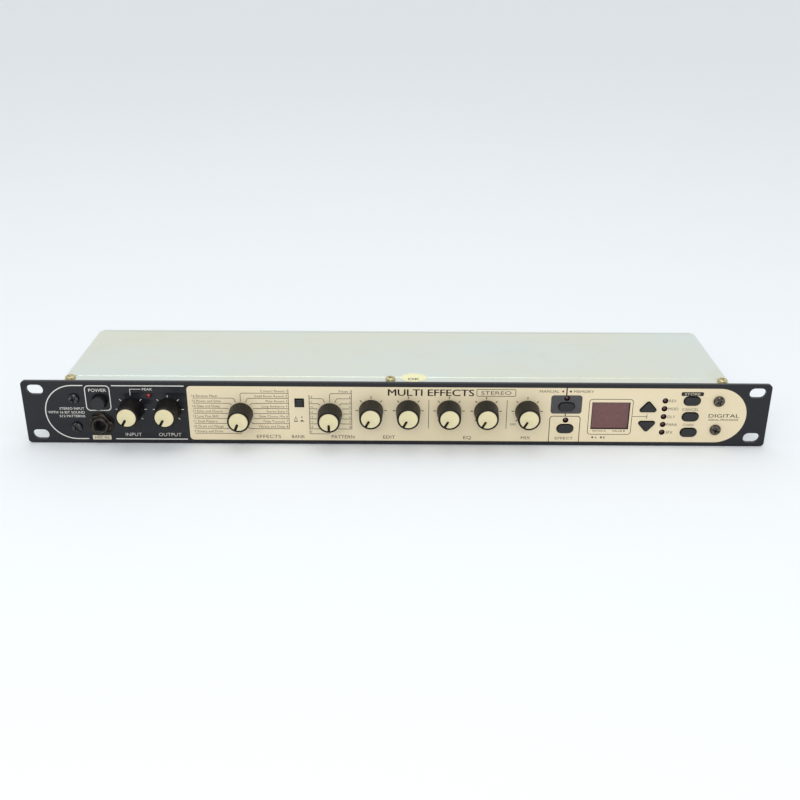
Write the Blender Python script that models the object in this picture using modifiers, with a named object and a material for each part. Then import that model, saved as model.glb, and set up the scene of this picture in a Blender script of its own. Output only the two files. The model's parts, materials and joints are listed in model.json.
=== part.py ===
"""A one-unit, 19 inch rack effects processor: front panel, sheet steel case, knobs on
potentiometers and selectors, push buttons, sockets, boards and screws.

Metres, +Z up, +X to the right of someone facing the front panel, +Y towards the back.
Every piece is placed from the front panel: x from its centre, y from its front face
(positive towards the back) and z from its lower edge. The empty rack_unit shifts all of
it along Y, so that the origin is at the bottom centre of the whole unit's box.
"""

import math

import bmesh
import bpy
from mathutils import Matrix, Vector

MM = 0.001
GAP = 0.3 * MM  # between pieces that touch in the real unit

# Front panel: a 19 inch, one-unit rack panel
PANEL_WIDTH = 482.6 * MM
PANEL_HEIGHT = 43.7 * MM
PANEL_THICKNESS = 3.0 * MM
PANEL_CORNER = 2.5 * MM
RACK_HOLES_ACROSS = 465.1 * MM
RACK_HOLES_UP = 31.75 * MM
RACK_SLOT_LENGTH = 10.8 * MM
RACK_SLOT_HEIGHT = 7.0 * MM
MID_Z = PANEL_HEIGHT / 2

# Case, folded from 1 mm sheet
SHEET = 1.0 * MM
CASE_WIDTH = 430.0 * MM
CASE_BACK_Y = 98.2 * MM
CASE_BOTTOM_Z = 0.5 * MM
CASE_TOP_Z = 42.7 * MM
COVER_STEP = 0.3 * MM  # the screwed front strip of the cover lies this much lower
COVER_STRIP_Y = 13.0 * MM
COVER_SKIRT_Z = 26.0 * MM
COVER_BACK_Y = 95.4 * MM
REBATE = GAP  # the panel's rear face is relieved where the case seats

# Knobs, potentiometers and selectors
KNOB_HEIGHT = 13.7 * MM
KNOB_FRONT_RADIUS = 7.2 * MM
KNOB_REAR_RADIUS = 8.0 * MM
KNOB_CLEARANCE = 0.5 * MM
CAP_RADIUS = 6.2 * MM
CAP_THICKNESS = 1.2 * MM
NOTCH_WIDTH = 1.8 * MM
NOTCH_START = 1.6 * MM
SHAFT_RADIUS = 3.0 * MM
KNOB_SIDES = 20
POT_ROW_Z = 24.4 * MM
POT_PITCH = 24.05 * MM
POT_FULLY_LEFT = math.radians(150)  # pointer at seven o'clock, turned left from the top
SELECTOR_STEP = math.tau / 16

INPUT_X = -171.5 * MM
EDIT_X = -16.15 * MM
EQ_X = 34.3 * MM
MIX_X = 84.9 * MM
KNOBS = (
    # name, x, z, is it a selector, pointer's turn to the left from twelve o'clock
    ("input_level", INPUT_X, POT_ROW_Z, False, POT_FULLY_LEFT),
    ("output_level", INPUT_X + POT_PITCH, POT_ROW_Z, False, POT_FULLY_LEFT),
    ("effect_select", -100.45 * MM, MID_Z, True, 7 * SELECTOR_STEP),
    ("pattern_select", -42.85 * MM, MID_Z, True, 8 * SELECTOR_STEP),
    ("edit_1", EDIT_X, POT_ROW_Z, False, POT_FULLY_LEFT),
    ("edit_2", EDIT_X + POT_PITCH, POT_ROW_Z, False, POT_FULLY_LEFT),
    ("eq_low", EQ_X, POT_ROW_Z, False, POT_FULLY_LEFT),
    ("eq_high", EQ_X + POT_PITCH, POT_ROW_Z, False, POT_FULLY_LEFT),
    ("mix", MIX_X, POT_ROW_Z, False, POT_FULLY_LEFT),
)

# Push buttons: the right-hand group stands on five rows, one lamp row apart
LAMP_PITCH = 5.6 * MM
ROWS_MID_Z = 21.15 * MM
BUTTON_COLUMN_X = 190.8 * MM
BYPASS_COLUMN_X = 110.15 * MM
ARROW_COLUMN_X = 163.0 * MM
OBLONG_WIDTH = 10.0 * MM
OBLONG_HEIGHT = 5.6 * MM
ARROW_WIDTH = 12.2 * MM
ARROW_HEIGHT = 7.1 * MM
ARROW_FROM_MID = 3.6 * MM
ARROW_FILLET = 1.0 * MM
BUTTON_PROUD = 1.2 * MM
BUTTON_TRAVEL = 0.5 * MM
OBLONGS = (
    ("store", BUTTON_COLUMN_X, ROWS_MID_Z + 2 * LAMP_PITCH),
    ("cancel", BUTTON_COLUMN_X, ROWS_MID_Z),
    ("channel", BUTTON_COLUMN_X, ROWS_MID_Z - 2 * LAMP_PITCH),
    ("memory", BYPASS_COLUMN_X, 27.8 * MM),
    ("effect", BYPASS_COLUMN_X, 12.2 * MM),
)
POWER_X = -191.6 * MM
POWER_Z = 29.8 * MM
POWER_RADIUS = 4.4 * MM
POWER_PROUD = 4.8 * MM
BANK_X = -62.5 * MM
BANK_Z = 29.6 * MM
BANK_SIDE = 5.0 * MM
BANK_PROUD = 1.0 * MM
BANK_TRAVEL = 2.5 * MM

# Lamps and display
LAMP_X = 173.55 * MM
LAMP_HOLE_RADIUS = 1.7 * MM
PEAK_LAMP = (-159.4 * MM, 34.3 * MM)
MEMORY_LAMP = (BYPASS_COLUMN_X, 33.7 * MM)
EFFECT_LAMP = (BYPASS_COLUMN_X, 18.3 * MM)
WINDOW_X = 139.0 * MM
WINDOW_Z = 21.5 * MM
WINDOW_WIDTH = 24.2 * MM
WINDOW_HEIGHT = 18.7 * MM

# Screws
PANEL_SCREW_X = 208.0 * MM
PANEL_SCREW_LEFT_MID_Z = 21.6 * MM
PANEL_SCREW_RIGHT_MID_Z = 22.2 * MM
PANEL_SCREW_FROM_MID = 10.1 * MM
COVER_SCREW_X = 211.2 * MM
COVER_MID_SCREW_X = -3.7 * MM
COVER_SCREW_Y = 8.6 * MM
SCREW_RADIUS = 1.5 * MM
PANEL_SCREW_HEAD_RADIUS = 3.6 * MM
COVER_SCREW_HEAD_RADIUS = 3.3 * MM

# Sockets
JACK_X = -192.2 * MM
JACK_Z = 13.9 * MM
JACK_BARREL_RADIUS = 5.5 * MM
JACK_BORE_RADIUS = 3.3 * MM
JACK_BORE_DEPTH = 22.0 * MM
JACK_BODY = 16.0 * MM
JACK_BODY_HEIGHT = 14.0 * MM
JACK_BODY_DEPTH = 19.0 * MM
JACK_PROUD = 4.2 * MM
NUT_ACROSS_FLATS = 14.0 * MM
NUT_THICKNESS = 2.5 * MM
NUT_TURN = math.radians(11)
REAR_JACK_REACH = 8.0 * MM
REAR_JACK_Z = 16.6 * MM
REAR_JACKS = (
    ("input_left_jack", 96.0 * MM),
    ("input_right_jack", 70.0 * MM),
    ("output_left_jack", 30.0 * MM),
    ("output_right_jack", 4.0 * MM),
    ("footswitch_jack", -40.0 * MM),
)
DATA_SOCKET_X = -82.0 * MM
DATA_SOCKET_Z = 18.5 * MM
POWER_INLET_X = -192.0 * MM
POWER_INLET_Z = 14.5 * MM

# Boards
BOARD = 1.6 * MM
CONTROL_BOARD_Y = 16.0 * MM
MAIN_BOARD_Z = 6.4 * MM
MAIN_BOARD_FRONT_Y = 34.0 * MM

# The unit's box runs from the knobs' faces to the ends of the rear jacks
UNIT_DEPTH = KNOB_HEIGHT + CASE_BACK_Y + REAR_JACK_REACH
PANEL_FRONT_Y = KNOB_HEIGHT - UNIT_DEPTH / 2

FACING_FRONT = (math.radians(90), 0, 0)  # local +Z points out of the front panel
FACING_BACK = (math.radians(-90), 0, 0)  # local +Z points out of the back


# ---------------------------------------------------------------- scene and materials


def clear_scene():
    for obj in list(bpy.data.objects):
        bpy.data.objects.remove(obj)
    parts = bpy.data.collections.new("rack_effects_unit")
    tools = bpy.data.collections.new("cutters")
    for collection in (parts, tools):
        bpy.context.scene.collection.children.link(collection)
    unit = bpy.data.objects.new("rack_unit", None)
    unit.location = (0, PANEL_FRONT_Y, 0)
    parts.objects.link(unit)
    return parts, tools, unit


def material(name, colour, roughness, metallic=0.0):
    made = bpy.data.materials.new(name)
    made.use_nodes = True
    shader = made.node_tree.nodes["Principled BSDF"]
    shader.inputs["Base Color"].default_value = (*colour, 1)
    shader.inputs["Roughness"].default_value = roughness
    shader.inputs["Metallic"].default_value = metallic
    return made


PARTS, TOOLS, UNIT = clear_scene()
PANEL_PAINT = material("panel_paint", (0.05, 0.05, 0.055), 0.45)
ZINC = material("zinc_plate", (0.72, 0.74, 0.66), 0.35, 0.8)
ZINC_SCREW = material("zinc_screw", (0.70, 0.62, 0.38), 0.3, 1.0)
DARK_SCREW = material("dark_screw", (0.10, 0.09, 0.07), 0.35, 0.8)
KNOB_BLACK = material("knob_black", (0.05, 0.045, 0.04), 0.5)
CAP_CREAM = material("cap_cream", (0.72, 0.66, 0.44), 0.45)
BUTTON_GREY = material("button_grey", (0.06, 0.06, 0.065), 0.5)
WINDOW_SMOKE = material("window_smoke", (0.17, 0.08, 0.08), 0.1)
SOCKET_BLACK = material("socket_black", (0.03, 0.03, 0.03), 0.4)
NUT_DARK = material("nut_dark", (0.12, 0.09, 0.06), 0.3, 0.9)
SHAFT_METAL = material("shaft_metal", (0.6, 0.6, 0.6), 0.3, 1.0)
BOARD_GREEN = material("board_green", (0.05, 0.22, 0.10), 0.5)
DISPLAY_GREY = material("display_grey", (0.25, 0.22, 0.22), 0.5)
RIBBON_GREY = material("ribbon_grey", (0.45, 0.45, 0.47), 0.6)


# ---------------------------------------------------------------- outlines and meshes


def circle(x, y, radius, sides):
    return [
        (x + radius * math.cos(math.tau * i / sides), y + radius * math.sin(math.tau * i / sides))
        for i in range(sides)
    ]


def rounded(corners, radius, steps=4):
    """A convex outline, its corners listed anticlockwise, each rounded with an arc."""
    points = []
    for i, corner in enumerate(corners):
        here = Vector(corner)
        back = (Vector(corners[i - 1]) - here).normalized()
        on = (Vector(corners[(i + 1) % len(corners)]) - here).normalized()
        half = back.angle(on) / 2
        centre = here + (back + on).normalized() * radius / math.sin(half)
        start = (-back).orthogonal()
        start = start if start.dot(here - centre) > 0 else -start
        sweep = math.pi - 2 * half
        for k in range(steps + 1):
            turned = Matrix.Rotation(sweep * k / steps, 2) @ start
            points.append(tuple(centre + turned * radius))
    return points


def rectangle(x, y, width, height, radius=0.0, steps=4):
    w, h = width / 2, height / 2
    corners = [(x - w, y - h), (x + w, y - h), (x + w, y + h), (x - w, y + h)]
    return rounded(corners, radius, steps) if radius else corners


def slot_outline(x, y, width, height, steps=8):
    """A straight slot with round ends, lying along x."""
    radius = height / 2
    reach = width / 2 - radius
    right = [
        (x + reach + radius * math.cos(a), y + radius * math.sin(a))
        for a in (math.pi * (k / steps - 0.5) for k in range(steps + 1))
    ]
    return right + [(2 * x - px, 2 * y - py) for px, py in right]


def arrow_outline(x, middle_y, side, grow=0.0):
    """A triangle with rounded corners that points up (side 1) or down (side -1) and is
    ARROW_HEIGHT high about middle_y. All its edges can lie further out, by grow."""
    slope = math.atan2(ARROW_HEIGHT, ARROW_WIDTH / 2)
    base = middle_y - side * (ARROW_HEIGHT / 2 + grow)
    tip = middle_y + side * (ARROW_HEIGHT / 2 + grow / math.cos(slope))
    half = ARROW_WIDTH / 2 + grow / math.tan(slope / 2)
    corners = [(x - half, base), (x + half, base), (x, tip)]
    if side < 0:
        corners.reverse()
    return rounded(corners, ARROW_FILLET + grow, 3)


def extruded(outlines, low, high):
    """A closed mesh from an outline and any holes in it, from low to high along local Z."""
    curve = bpy.data.curves.new("outline", "CURVE")
    curve.dimensions = "2D"
    curve.fill_mode = "BOTH"
    curve.extrude = (high - low) / 2
    for outline in outlines:
        spline = curve.splines.new("POLY")
        spline.points.add(len(outline) - 1)
        for point, (x, y) in zip(spline.points, outline):
            point.co = (x, y, 0, 1)
        spline.use_cyclic_u = True
    obj = bpy.data.objects.new("outline", curve)
    TOOLS.objects.link(obj)
    mesh = baked(obj)
    mesh.transform(Matrix.Translation((0, 0, (low + high) / 2)))
    return mesh


def baked(obj):
    """The evaluated mesh of a helper object, welded, and the helper removed."""
    bpy.context.view_layer.update()
    graph = bpy.context.evaluated_depsgraph_get()
    mesh = bpy.data.meshes.new_from_object(obj.evaluated_get(graph))
    shape = bmesh.new()
    shape.from_mesh(mesh)
    bmesh.ops.remove_doubles(shape, verts=shape.verts, dist=0.001 * MM)
    bmesh.ops.dissolve_degenerate(shape, edges=shape.edges, dist=0.001 * MM)
    bmesh.ops.recalc_face_normals(shape, faces=shape.faces)
    shape.to_mesh(mesh)
    shape.free()
    bpy.data.objects.remove(obj)
    return mesh


def block(low, high):
    shape = bmesh.new()
    bmesh.ops.create_cube(shape, size=1)
    low, high = Vector(low), Vector(high)
    bmesh.ops.scale(shape, vec=high - low, verts=shape.verts)
    bmesh.ops.translate(shape, vec=(low + high) / 2, verts=shape.verts)
    return finished(shape)


def drum(radius, low, high, x=0.0, y=0.0, sides=20, axis="Z"):
    """A cylinder from low to high along an axis, through x and y on the plane across it:
    X and Z across a cylinder that lies along Y."""
    shape = bmesh.new()
    bmesh.ops.create_cone(
        shape, cap_ends=True, segments=sides, radius1=radius, radius2=radius, depth=high - low
    )
    bmesh.ops.translate(shape, vec=(0, 0, (low + high) / 2), verts=shape.verts)
    if axis == "Y":
        turn = Matrix.Rotation(math.radians(-90), 3, "X")
        bmesh.ops.rotate(shape, matrix=turn, verts=shape.verts)
        bmesh.ops.translate(shape, vec=(x, 0, y), verts=shape.verts)
    else:
        bmesh.ops.translate(shape, vec=(x, y, 0), verts=shape.verts)
    return finished(shape)


def finished(shape):
    mesh = bpy.data.meshes.new("shape")
    shape.to_mesh(mesh)
    shape.free()
    return mesh


def turned(profile, sides):
    """A profile of (radius, height) points, outer side running down, turned about Z."""
    mesh = bpy.data.meshes.new("profile")
    points = [(radius, 0, height) for radius, height in profile]
    mesh.from_pydata(points, [(i, i + 1) for i in range(len(points) - 1)], [])
    obj = bpy.data.objects.new("profile", mesh)
    TOOLS.objects.link(obj)
    screw = obj.modifiers.new("turn", "SCREW")
    screw.steps = screw.render_steps = sides
    screw.use_merge_vertices = True
    screw.merge_threshold = 0.00001
    return baked(obj)


def helper(mesh):
    """A mesh held by an object that is never a piece itself."""
    obj = bpy.data.objects.new("helper", mesh)
    obj.hide_render = True
    obj.display_type = "WIRE"
    obj.parent = UNIT
    TOOLS.objects.link(obj)
    return obj


def add_boolean(obj, operation, meshes):
    """Joins or cuts with all the meshes at once, which lie in the object's own space."""
    group = bpy.data.collections.new(f"{obj.name}_{operation.lower()}")
    TOOLS.children.link(group)
    for mesh in meshes:
        tool = helper(mesh)
        TOOLS.objects.unlink(tool)
        group.objects.link(tool)
        tool.parent = obj.parent
        tool.location = obj.location
        tool.rotation_euler = obj.rotation_euler
    modifier = obj.modifiers.new(operation.lower(), "BOOLEAN")
    modifier.operation = operation
    modifier.operand_type = "COLLECTION"
    modifier.collection = group


def combined(base, joined=(), cut=()):
    """One mesh from a base mesh, the meshes joined to it and those cut from it."""
    obj = helper(base)
    obj.parent = None
    if joined:
        add_boolean(obj, "UNION", joined)
    if cut:
        add_boolean(obj, "DIFFERENCE", cut)
    return baked(obj)


def piece(name, mesh, finish, location=(0, 0, 0), rotation=(0, 0, 0), joined=(), cut=()):
    """A piece of the unit, as one named object."""
    obj = bpy.data.objects.new(name, mesh)
    if not mesh.materials:
        mesh.materials.append(finish)
    obj.location = location
    obj.rotation_euler = rotation
    obj.parent = UNIT
    PARTS.objects.link(obj)
    if joined:
        add_boolean(obj, "UNION", joined)
    if cut:
        add_boolean(obj, "DIFFERENCE", cut)
    return obj


# ---------------------------------------------------------------- front panel


def lamp_places():
    column = [(LAMP_X, ROWS_MID_Z + LAMP_PITCH * k) for k in (2, 1, 0, -1, -2)]
    return [PEAK_LAMP, MEMORY_LAMP, EFFECT_LAMP, *column]


def panel_screw_places():
    return [
        (x, mid_z + level * PANEL_SCREW_FROM_MID)
        for x, mid_z in (
            (-PANEL_SCREW_X, PANEL_SCREW_LEFT_MID_Z),
            (PANEL_SCREW_X, PANEL_SCREW_RIGHT_MID_Z),
        )
        for level in (1, -1)
    ]


def arrow_places():
    return [(ROWS_MID_Z + side * (ARROW_FROM_MID + ARROW_HEIGHT / 2), side) for side in (1, -1)]


def panel_holes():
    clear = 2 * GAP
    holes = [
        slot_outline(sx * RACK_HOLES_ACROSS / 2, MID_Z + sz * RACK_HOLES_UP / 2,
                     RACK_SLOT_LENGTH, RACK_SLOT_HEIGHT)
        for sx in (-1, 1)
        for sz in (-1, 1)
    ]
    holes += [circle(x, z, SHAFT_RADIUS + 0.8 * MM, 12) for _, x, z, _, _ in KNOBS]
    holes += [circle(x, z, LAMP_HOLE_RADIUS, 8) for x, z in lamp_places()]
    holes += [circle(x, z, SCREW_RADIUS + GAP, 12) for x, z in panel_screw_places()]
    holes += [
        slot_outline(x, z, OBLONG_WIDTH + clear, OBLONG_HEIGHT + clear, 6) for _, x, z in OBLONGS
    ]
    holes += [arrow_outline(ARROW_COLUMN_X, z, side, GAP) for z, side in arrow_places()]
    holes.append(rectangle(BANK_X, BANK_Z, BANK_SIDE + clear, BANK_SIDE + clear))
    holes.append(circle(POWER_X, POWER_Z, POWER_RADIUS + 0.4 * MM, 20))
    holes.append(circle(JACK_X, JACK_Z, JACK_BARREL_RADIUS + GAP, 20))
    holes.append(rectangle(WINDOW_X, WINDOW_Z, WINDOW_WIDTH, WINDOW_HEIGHT))
    return holes


def make_front_panel():
    outline = rectangle(0, MID_Z, PANEL_WIDTH, PANEL_HEIGHT, PANEL_CORNER)
    plate = extruded([outline, *panel_holes()], -PANEL_THICKNESS, 0)
    half = CASE_WIDTH / 2 + 1.5 * MM
    relief = block(
        (-half, -MM, -PANEL_THICKNESS - MM),
        (half, PANEL_HEIGHT + MM, -PANEL_THICKNESS + REBATE),
    )
    piece("front_panel", plate, PANEL_PAINT, rotation=FACING_FRONT, cut=[relief])


# ---------------------------------------------------------------- case


def rear_jack_places():
    return [(x, REAR_JACK_Z) for _, x in REAR_JACKS]


def make_chassis_tray():
    """Floor, two sides, front frame and rear wall, folded from one sheet."""
    half = CASE_WIDTH / 2 - SHEET - GAP
    front, back = PANEL_THICKNESS, CASE_BACK_Y
    top = CASE_TOP_Z - COVER_STEP - SHEET - GAP
    inside = block(
        (-half + SHEET, front + SHEET, CASE_BOTTOM_Z + SHEET),
        (half - SHEET, back - SHEET, top + MM),
    )
    tub = combined(block((-half, front, CASE_BOTTOM_Z), (half, back, top)), cut=[inside])
    edge = half - SHEET / 2
    front_flange = block((-edge, front + SHEET / 2, top - SHEET), (edge, front + 9 * MM, top))
    rear_rise = block((-edge, back - SHEET, top - 2 * MM), (edge, back, CASE_TOP_Z))
    rear_lip = block((-edge, COVER_BACK_Y + GAP, CASE_TOP_Z - SHEET), (edge, back, CASE_TOP_Z))
    opening_half = 201 * MM
    opening = block(
        (-opening_half, 0, 4.5 * MM), (opening_half, front + 2 * SHEET, top - 1.5 * SHEET)
    )
    wall = (CASE_BACK_Y - 3 * SHEET, CASE_BACK_Y + SHEET)
    cuts = [opening]
    for x, z in panel_screw_places():
        cuts.append(drum(SCREW_RADIUS + GAP, 0, front + 2 * SHEET, x, z, 12, "Y"))
    for x in cover_screw_places():
        cuts.append(drum(SCREW_RADIUS + GAP, top - 2 * SHEET, top + MM, x, COVER_SCREW_Y, 12))
    for x, z in rear_jack_places():
        cuts.append(drum(JACK_BARREL_RADIUS + GAP, *wall, x, z, 20, "Y"))
    cuts.append(drum(7.4 * MM + GAP, *wall, DATA_SOCKET_X, DATA_SOCKET_Z, 24, "Y"))
    cuts.append(drum(4.2 * MM + GAP, *wall, POWER_INLET_X, POWER_INLET_Z, 20, "Y"))
    piece("chassis_tray", tub, ZINC, joined=[front_flange, rear_rise, rear_lip], cut=cuts)


def cover_screw_places():
    return [-COVER_SCREW_X, COVER_MID_SCREW_X, COVER_SCREW_X]


def make_top_cover():
    """A folded top with a skirt down each side and a lower, screwed strip at the front."""
    half, inner = CASE_WIDTH / 2, CASE_WIDTH / 2 - SHEET
    front, back = PANEL_THICKNESS + GAP, COVER_BACK_Y
    lowest = CASE_TOP_Z - SHEET - COVER_STEP
    section = [
        (-half, COVER_SKIRT_Z),
        (-inner, COVER_SKIRT_Z),
        (-inner, lowest),
        (inner, lowest),
        (inner, COVER_SKIRT_Z),
        (half, COVER_SKIRT_Z),
        (half, CASE_TOP_Z),
        (-half, CASE_TOP_Z),
    ]
    folded = extruded([section], -back, -front)
    folded.transform(Matrix.Rotation(math.radians(90), 4, "X"))
    above_strip = block(
        (-half - MM, 0, CASE_TOP_Z - COVER_STEP), (half + MM, COVER_STRIP_Y, CASE_TOP_Z + MM)
    )
    bend = 0.2 * MM
    under_top = block(
        (-inner + bend, COVER_STRIP_Y + SHEET, lowest - MM),
        (inner - bend, back + MM, lowest + COVER_STEP),
    )
    holes = [
        drum(SCREW_RADIUS + GAP, lowest - MM, CASE_TOP_Z + MM, x, COVER_SCREW_Y, 12)
        for x in cover_screw_places()
    ]
    piece("top_cover", folded, ZINC, cut=[above_strip, under_top, *holes])


# ---------------------------------------------------------------- screws


def screw_mesh(head_radius, head_height, length):
    """A pan-head screw with a cross recess. Its head rests on local Z = 0."""
    rim = 0.55 * head_height
    profile = [
        (0, head_height),
        (0.55 * head_radius, 0.95 * head_height),
        (0.9 * head_radius, rim),
        (head_radius, 0),
        (SCREW_RADIUS, 0),
        (SCREW_RADIUS, -length),
        (0, -length),
    ]
    arm, width, depth = 1.7 * MM, 0.4 * MM, 1.2 * MM
    bottom, top = head_height - depth, head_height + MM
    cross = combined(
        block((-arm, -width, bottom), (arm, width, top)),
        joined=[block((-width, -arm, bottom), (width, arm, top))],
    )
    return combined(turned(profile, 14), cut=[cross])


def make_screws():
    panel_screw = screw_mesh(PANEL_SCREW_HEAD_RADIUS, 2.0 * MM, 8.0 * MM)
    for i, (x, z) in enumerate(panel_screw_places()):
        piece(f"panel_screw_{i + 1}", panel_screw, DARK_SCREW, (x, -GAP, z), FACING_FRONT)
    cover_screw = screw_mesh(COVER_SCREW_HEAD_RADIUS, 2.0 * MM, 5.5 * MM)
    seat = CASE_TOP_Z - COVER_STEP + GAP
    for i, x in enumerate(cover_screw_places()):
        piece(f"cover_screw_{i + 1}", cover_screw, ZINC_SCREW, (x, COVER_SCREW_Y, seat))


# ---------------------------------------------------------------- knobs


def knob_mesh():
    """A hollow tapered knob with a hub, a recess for the cap and a pointer rib in it."""
    face, floor = KNOB_HEIGHT, KNOB_HEIGHT - CAP_THICKNESS - GAP
    recess = CAP_RADIUS + GAP
    wall, hub = 1.3 * MM, 1.6 * MM
    bore = SHAFT_RADIUS + GAP
    under = floor - 2.0 * MM
    profile = [
        (0, floor),
        (recess, floor),
        (recess, face),
        (KNOB_FRONT_RADIUS - 0.2 * MM, face),
        (KNOB_FRONT_RADIUS, face - 0.4 * MM),
        (KNOB_REAR_RADIUS, KNOB_CLEARANCE),
        (KNOB_REAR_RADIUS - wall, KNOB_CLEARANCE),
        (KNOB_FRONT_RADIUS - wall, under),
        (bore + hub, under),
        (bore + hub, 2 * MM),
        (bore, 2 * MM),
        (bore, under - MM),
        (0, under - MM),
    ]
    rib = block(
        (-NOTCH_WIDTH / 2 + GAP, NOTCH_START + GAP, floor - 0.5 * MM),
        (NOTCH_WIDTH / 2 - GAP, recess + 0.2 * MM, face),
    )
    return combined(turned(profile, KNOB_SIDES), joined=[rib])


def cap_mesh():
    """A disc with a round-ended notch that runs out through its rim at local +Y."""
    half = NOTCH_WIDTH / 2
    start = math.asin(half / CAP_RADIUS)
    steps = 28
    rim = [
        (CAP_RADIUS * math.sin(a), CAP_RADIUS * math.cos(a))
        for a in (start + (math.tau - 2 * start) * k / steps for k in range(steps + 1))
    ]
    end = [
        (-half * math.cos(a), NOTCH_START + half - half * math.sin(a))
        for a in (math.pi * k / 6 for k in range(7))
    ]
    outline = (rim + end)[::-1]
    return extruded([outline], KNOB_HEIGHT - CAP_THICKNESS, KNOB_HEIGHT)


def shaft_mesh():
    """A round shaft with a flat along the end that the knob grips."""
    top = KNOB_HEIGHT - CAP_THICKNESS - GAP - 3.3 * MM
    rod = drum(SHAFT_RADIUS - 0.1 * MM, -14.5 * MM, top, sides=12)
    flat = block((-4 * MM, SHAFT_RADIUS - 1.4 * MM, 2.5 * MM), (4 * MM, 4 * MM, top + MM))
    return combined(rod, cut=[flat])


def make_knobs():
    knob, cap, shaft = knob_mesh(), cap_mesh(), shaft_mesh()
    for name, x, z, _, turn in KNOBS:
        rotation = (math.radians(90), -turn, 0)
        piece(f"{name}_knob", knob, KNOB_BLACK, (x, 0, z), rotation)
        piece(f"{name}_cap", cap, CAP_CREAM, (x, 0, z), rotation)
        piece(f"{name}_shaft", shaft, SHAFT_METAL, (x, 0, z), rotation)


# ---------------------------------------------------------------- push buttons


def momentary_mesh(outline, proud):
    """A cap through the panel, a flange behind it and a stem back to the switch."""
    xs = [x for x, _ in outline]
    ys = [y for _, y in outline]
    back = -PANEL_THICKNESS - GAP
    flange = block(
        (min(xs) - 0.7 * MM, min(ys) - 0.7 * MM, back - MM),
        (max(xs) + 0.7 * MM, max(ys) + 0.7 * MM, back),
    )
    stem = drum(1.5 * MM, -9.6 * MM, back - 0.5 * MM, sides=12)
    return combined(extruded([outline], back - 0.5 * MM, proud), joined=[flange, stem])


def make_buttons():
    oblong = momentary_mesh(slot_outline(0, 0, OBLONG_WIDTH, OBLONG_HEIGHT, 6), BUTTON_PROUD)
    for name, x, z in OBLONGS:
        piece(f"{name}_button", oblong, BUTTON_GREY, (x, 0, z), FACING_FRONT)
    for name, (z, side) in zip(("up", "down"), arrow_places()):
        arrow = momentary_mesh(arrow_outline(0, 0, side), BUTTON_PROUD)
        piece(f"{name}_button", arrow, BUTTON_GREY, (ARROW_COLUMN_X, 0, z), FACING_FRONT)
    make_power_button()
    make_bank_button()


def make_power_button():
    back = -PANEL_THICKNESS - GAP
    profile = [
        (0, POWER_PROUD),
        (POWER_RADIUS - 0.5 * MM, POWER_PROUD),
        (POWER_RADIUS, POWER_PROUD - 0.5 * MM),
        (POWER_RADIUS, back),
        (POWER_RADIUS + 1.0 * MM, back),
        (POWER_RADIUS + 1.0 * MM, back - MM),
        (1.8 * MM, back - MM),
        (1.8 * MM, -10.5 * MM),
        (0, -10.5 * MM),
    ]
    piece("power_button", turned(profile, 20), BUTTON_GREY, (POWER_X, 0, POWER_Z), FACING_FRONT)


def make_bank_button():
    """It is latched in, so its flange stands one travel behind the panel."""
    half = BANK_SIDE / 2
    flange_front = -PANEL_THICKNESS - GAP - BANK_TRAVEL
    body = block((-half, -half, flange_front - 0.5 * MM), (half, half, BANK_PROUD))
    wide = half + 0.8 * MM
    flange = block((-wide, -wide, flange_front - MM), (wide, wide, flange_front))
    stem = drum(1.6 * MM, -11 * MM, flange_front - 0.5 * MM, sides=12)
    mesh = combined(body, joined=[flange, stem])
    piece("bank_button", mesh, BUTTON_GREY, (BANK_X, 0, BANK_Z), FACING_FRONT)


# ---------------------------------------------------------------- display


def make_display():
    w, h = WINDOW_WIDTH / 2 - GAP, WINDOW_HEIGHT / 2 - GAP
    back = -PANEL_THICKNESS
    lens = block((-w, -h, back - 0.5 * MM), (w, h, -GAP))
    flange = block((-w - 2 * MM, -h - 2 * MM, back - MM), (w + 2 * MM, h + 2 * MM, back))
    window = combined(lens, joined=[flange])
    place = (WINDOW_X, 0, WINDOW_Z)
    piece("display_window", window, WINDOW_SMOKE, place, FACING_FRONT)
    module = block(
        (-12.5 * MM, -9.5 * MM, -CONTROL_BOARD_Y + GAP), (12.5 * MM, 9.5 * MM, -7.5 * MM)
    )
    piece("display_module", module, DISPLAY_GREY, place, FACING_FRONT)


# ---------------------------------------------------------------- sockets


def jack_mesh(wall, proud):
    """A quarter-inch jack. Local Z = 0 is the wall's outer face, and +Z points out."""
    half, half_height = JACK_BODY / 2, JACK_BODY_HEIGHT / 2
    front = -wall
    body = block((-half, -half_height, front - JACK_BODY_DEPTH), (half, half_height, front))
    barrel = drum(JACK_BARREL_RADIUS, front - MM, proud)
    bore = drum(JACK_BORE_RADIUS, proud - JACK_BORE_DEPTH, proud + MM, sides=16)
    return combined(body, joined=[barrel], cut=[bore])


def make_front_jack():
    place = (JACK_X, 0, JACK_Z)
    jack = jack_mesh(PANEL_THICKNESS, JACK_PROUD)
    piece("front_jack", jack, SOCKET_BLACK, place, FACING_FRONT)
    corner = NUT_ACROSS_FLATS / 2 / math.cos(math.pi / 6)
    hexagon = circle(0, 0, corner, 6)
    ring = extruded([hexagon, circle(0, 0, JACK_BARREL_RADIUS + GAP, 20)], 0, NUT_THICKNESS)
    turn = (math.radians(90), -NUT_TURN, 0)
    piece("front_jack_nut", ring, NUT_DARK, (JACK_X, -GAP, JACK_Z), turn)


def make_rear_sockets():
    jack = jack_mesh(SHEET + GAP, REAR_JACK_REACH)
    for name, x in REAR_JACKS:
        piece(name, jack, SOCKET_BLACK, (x, CASE_BACK_Y, REAR_JACK_Z), FACING_BACK)
    make_data_socket()
    make_power_inlet()


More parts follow.
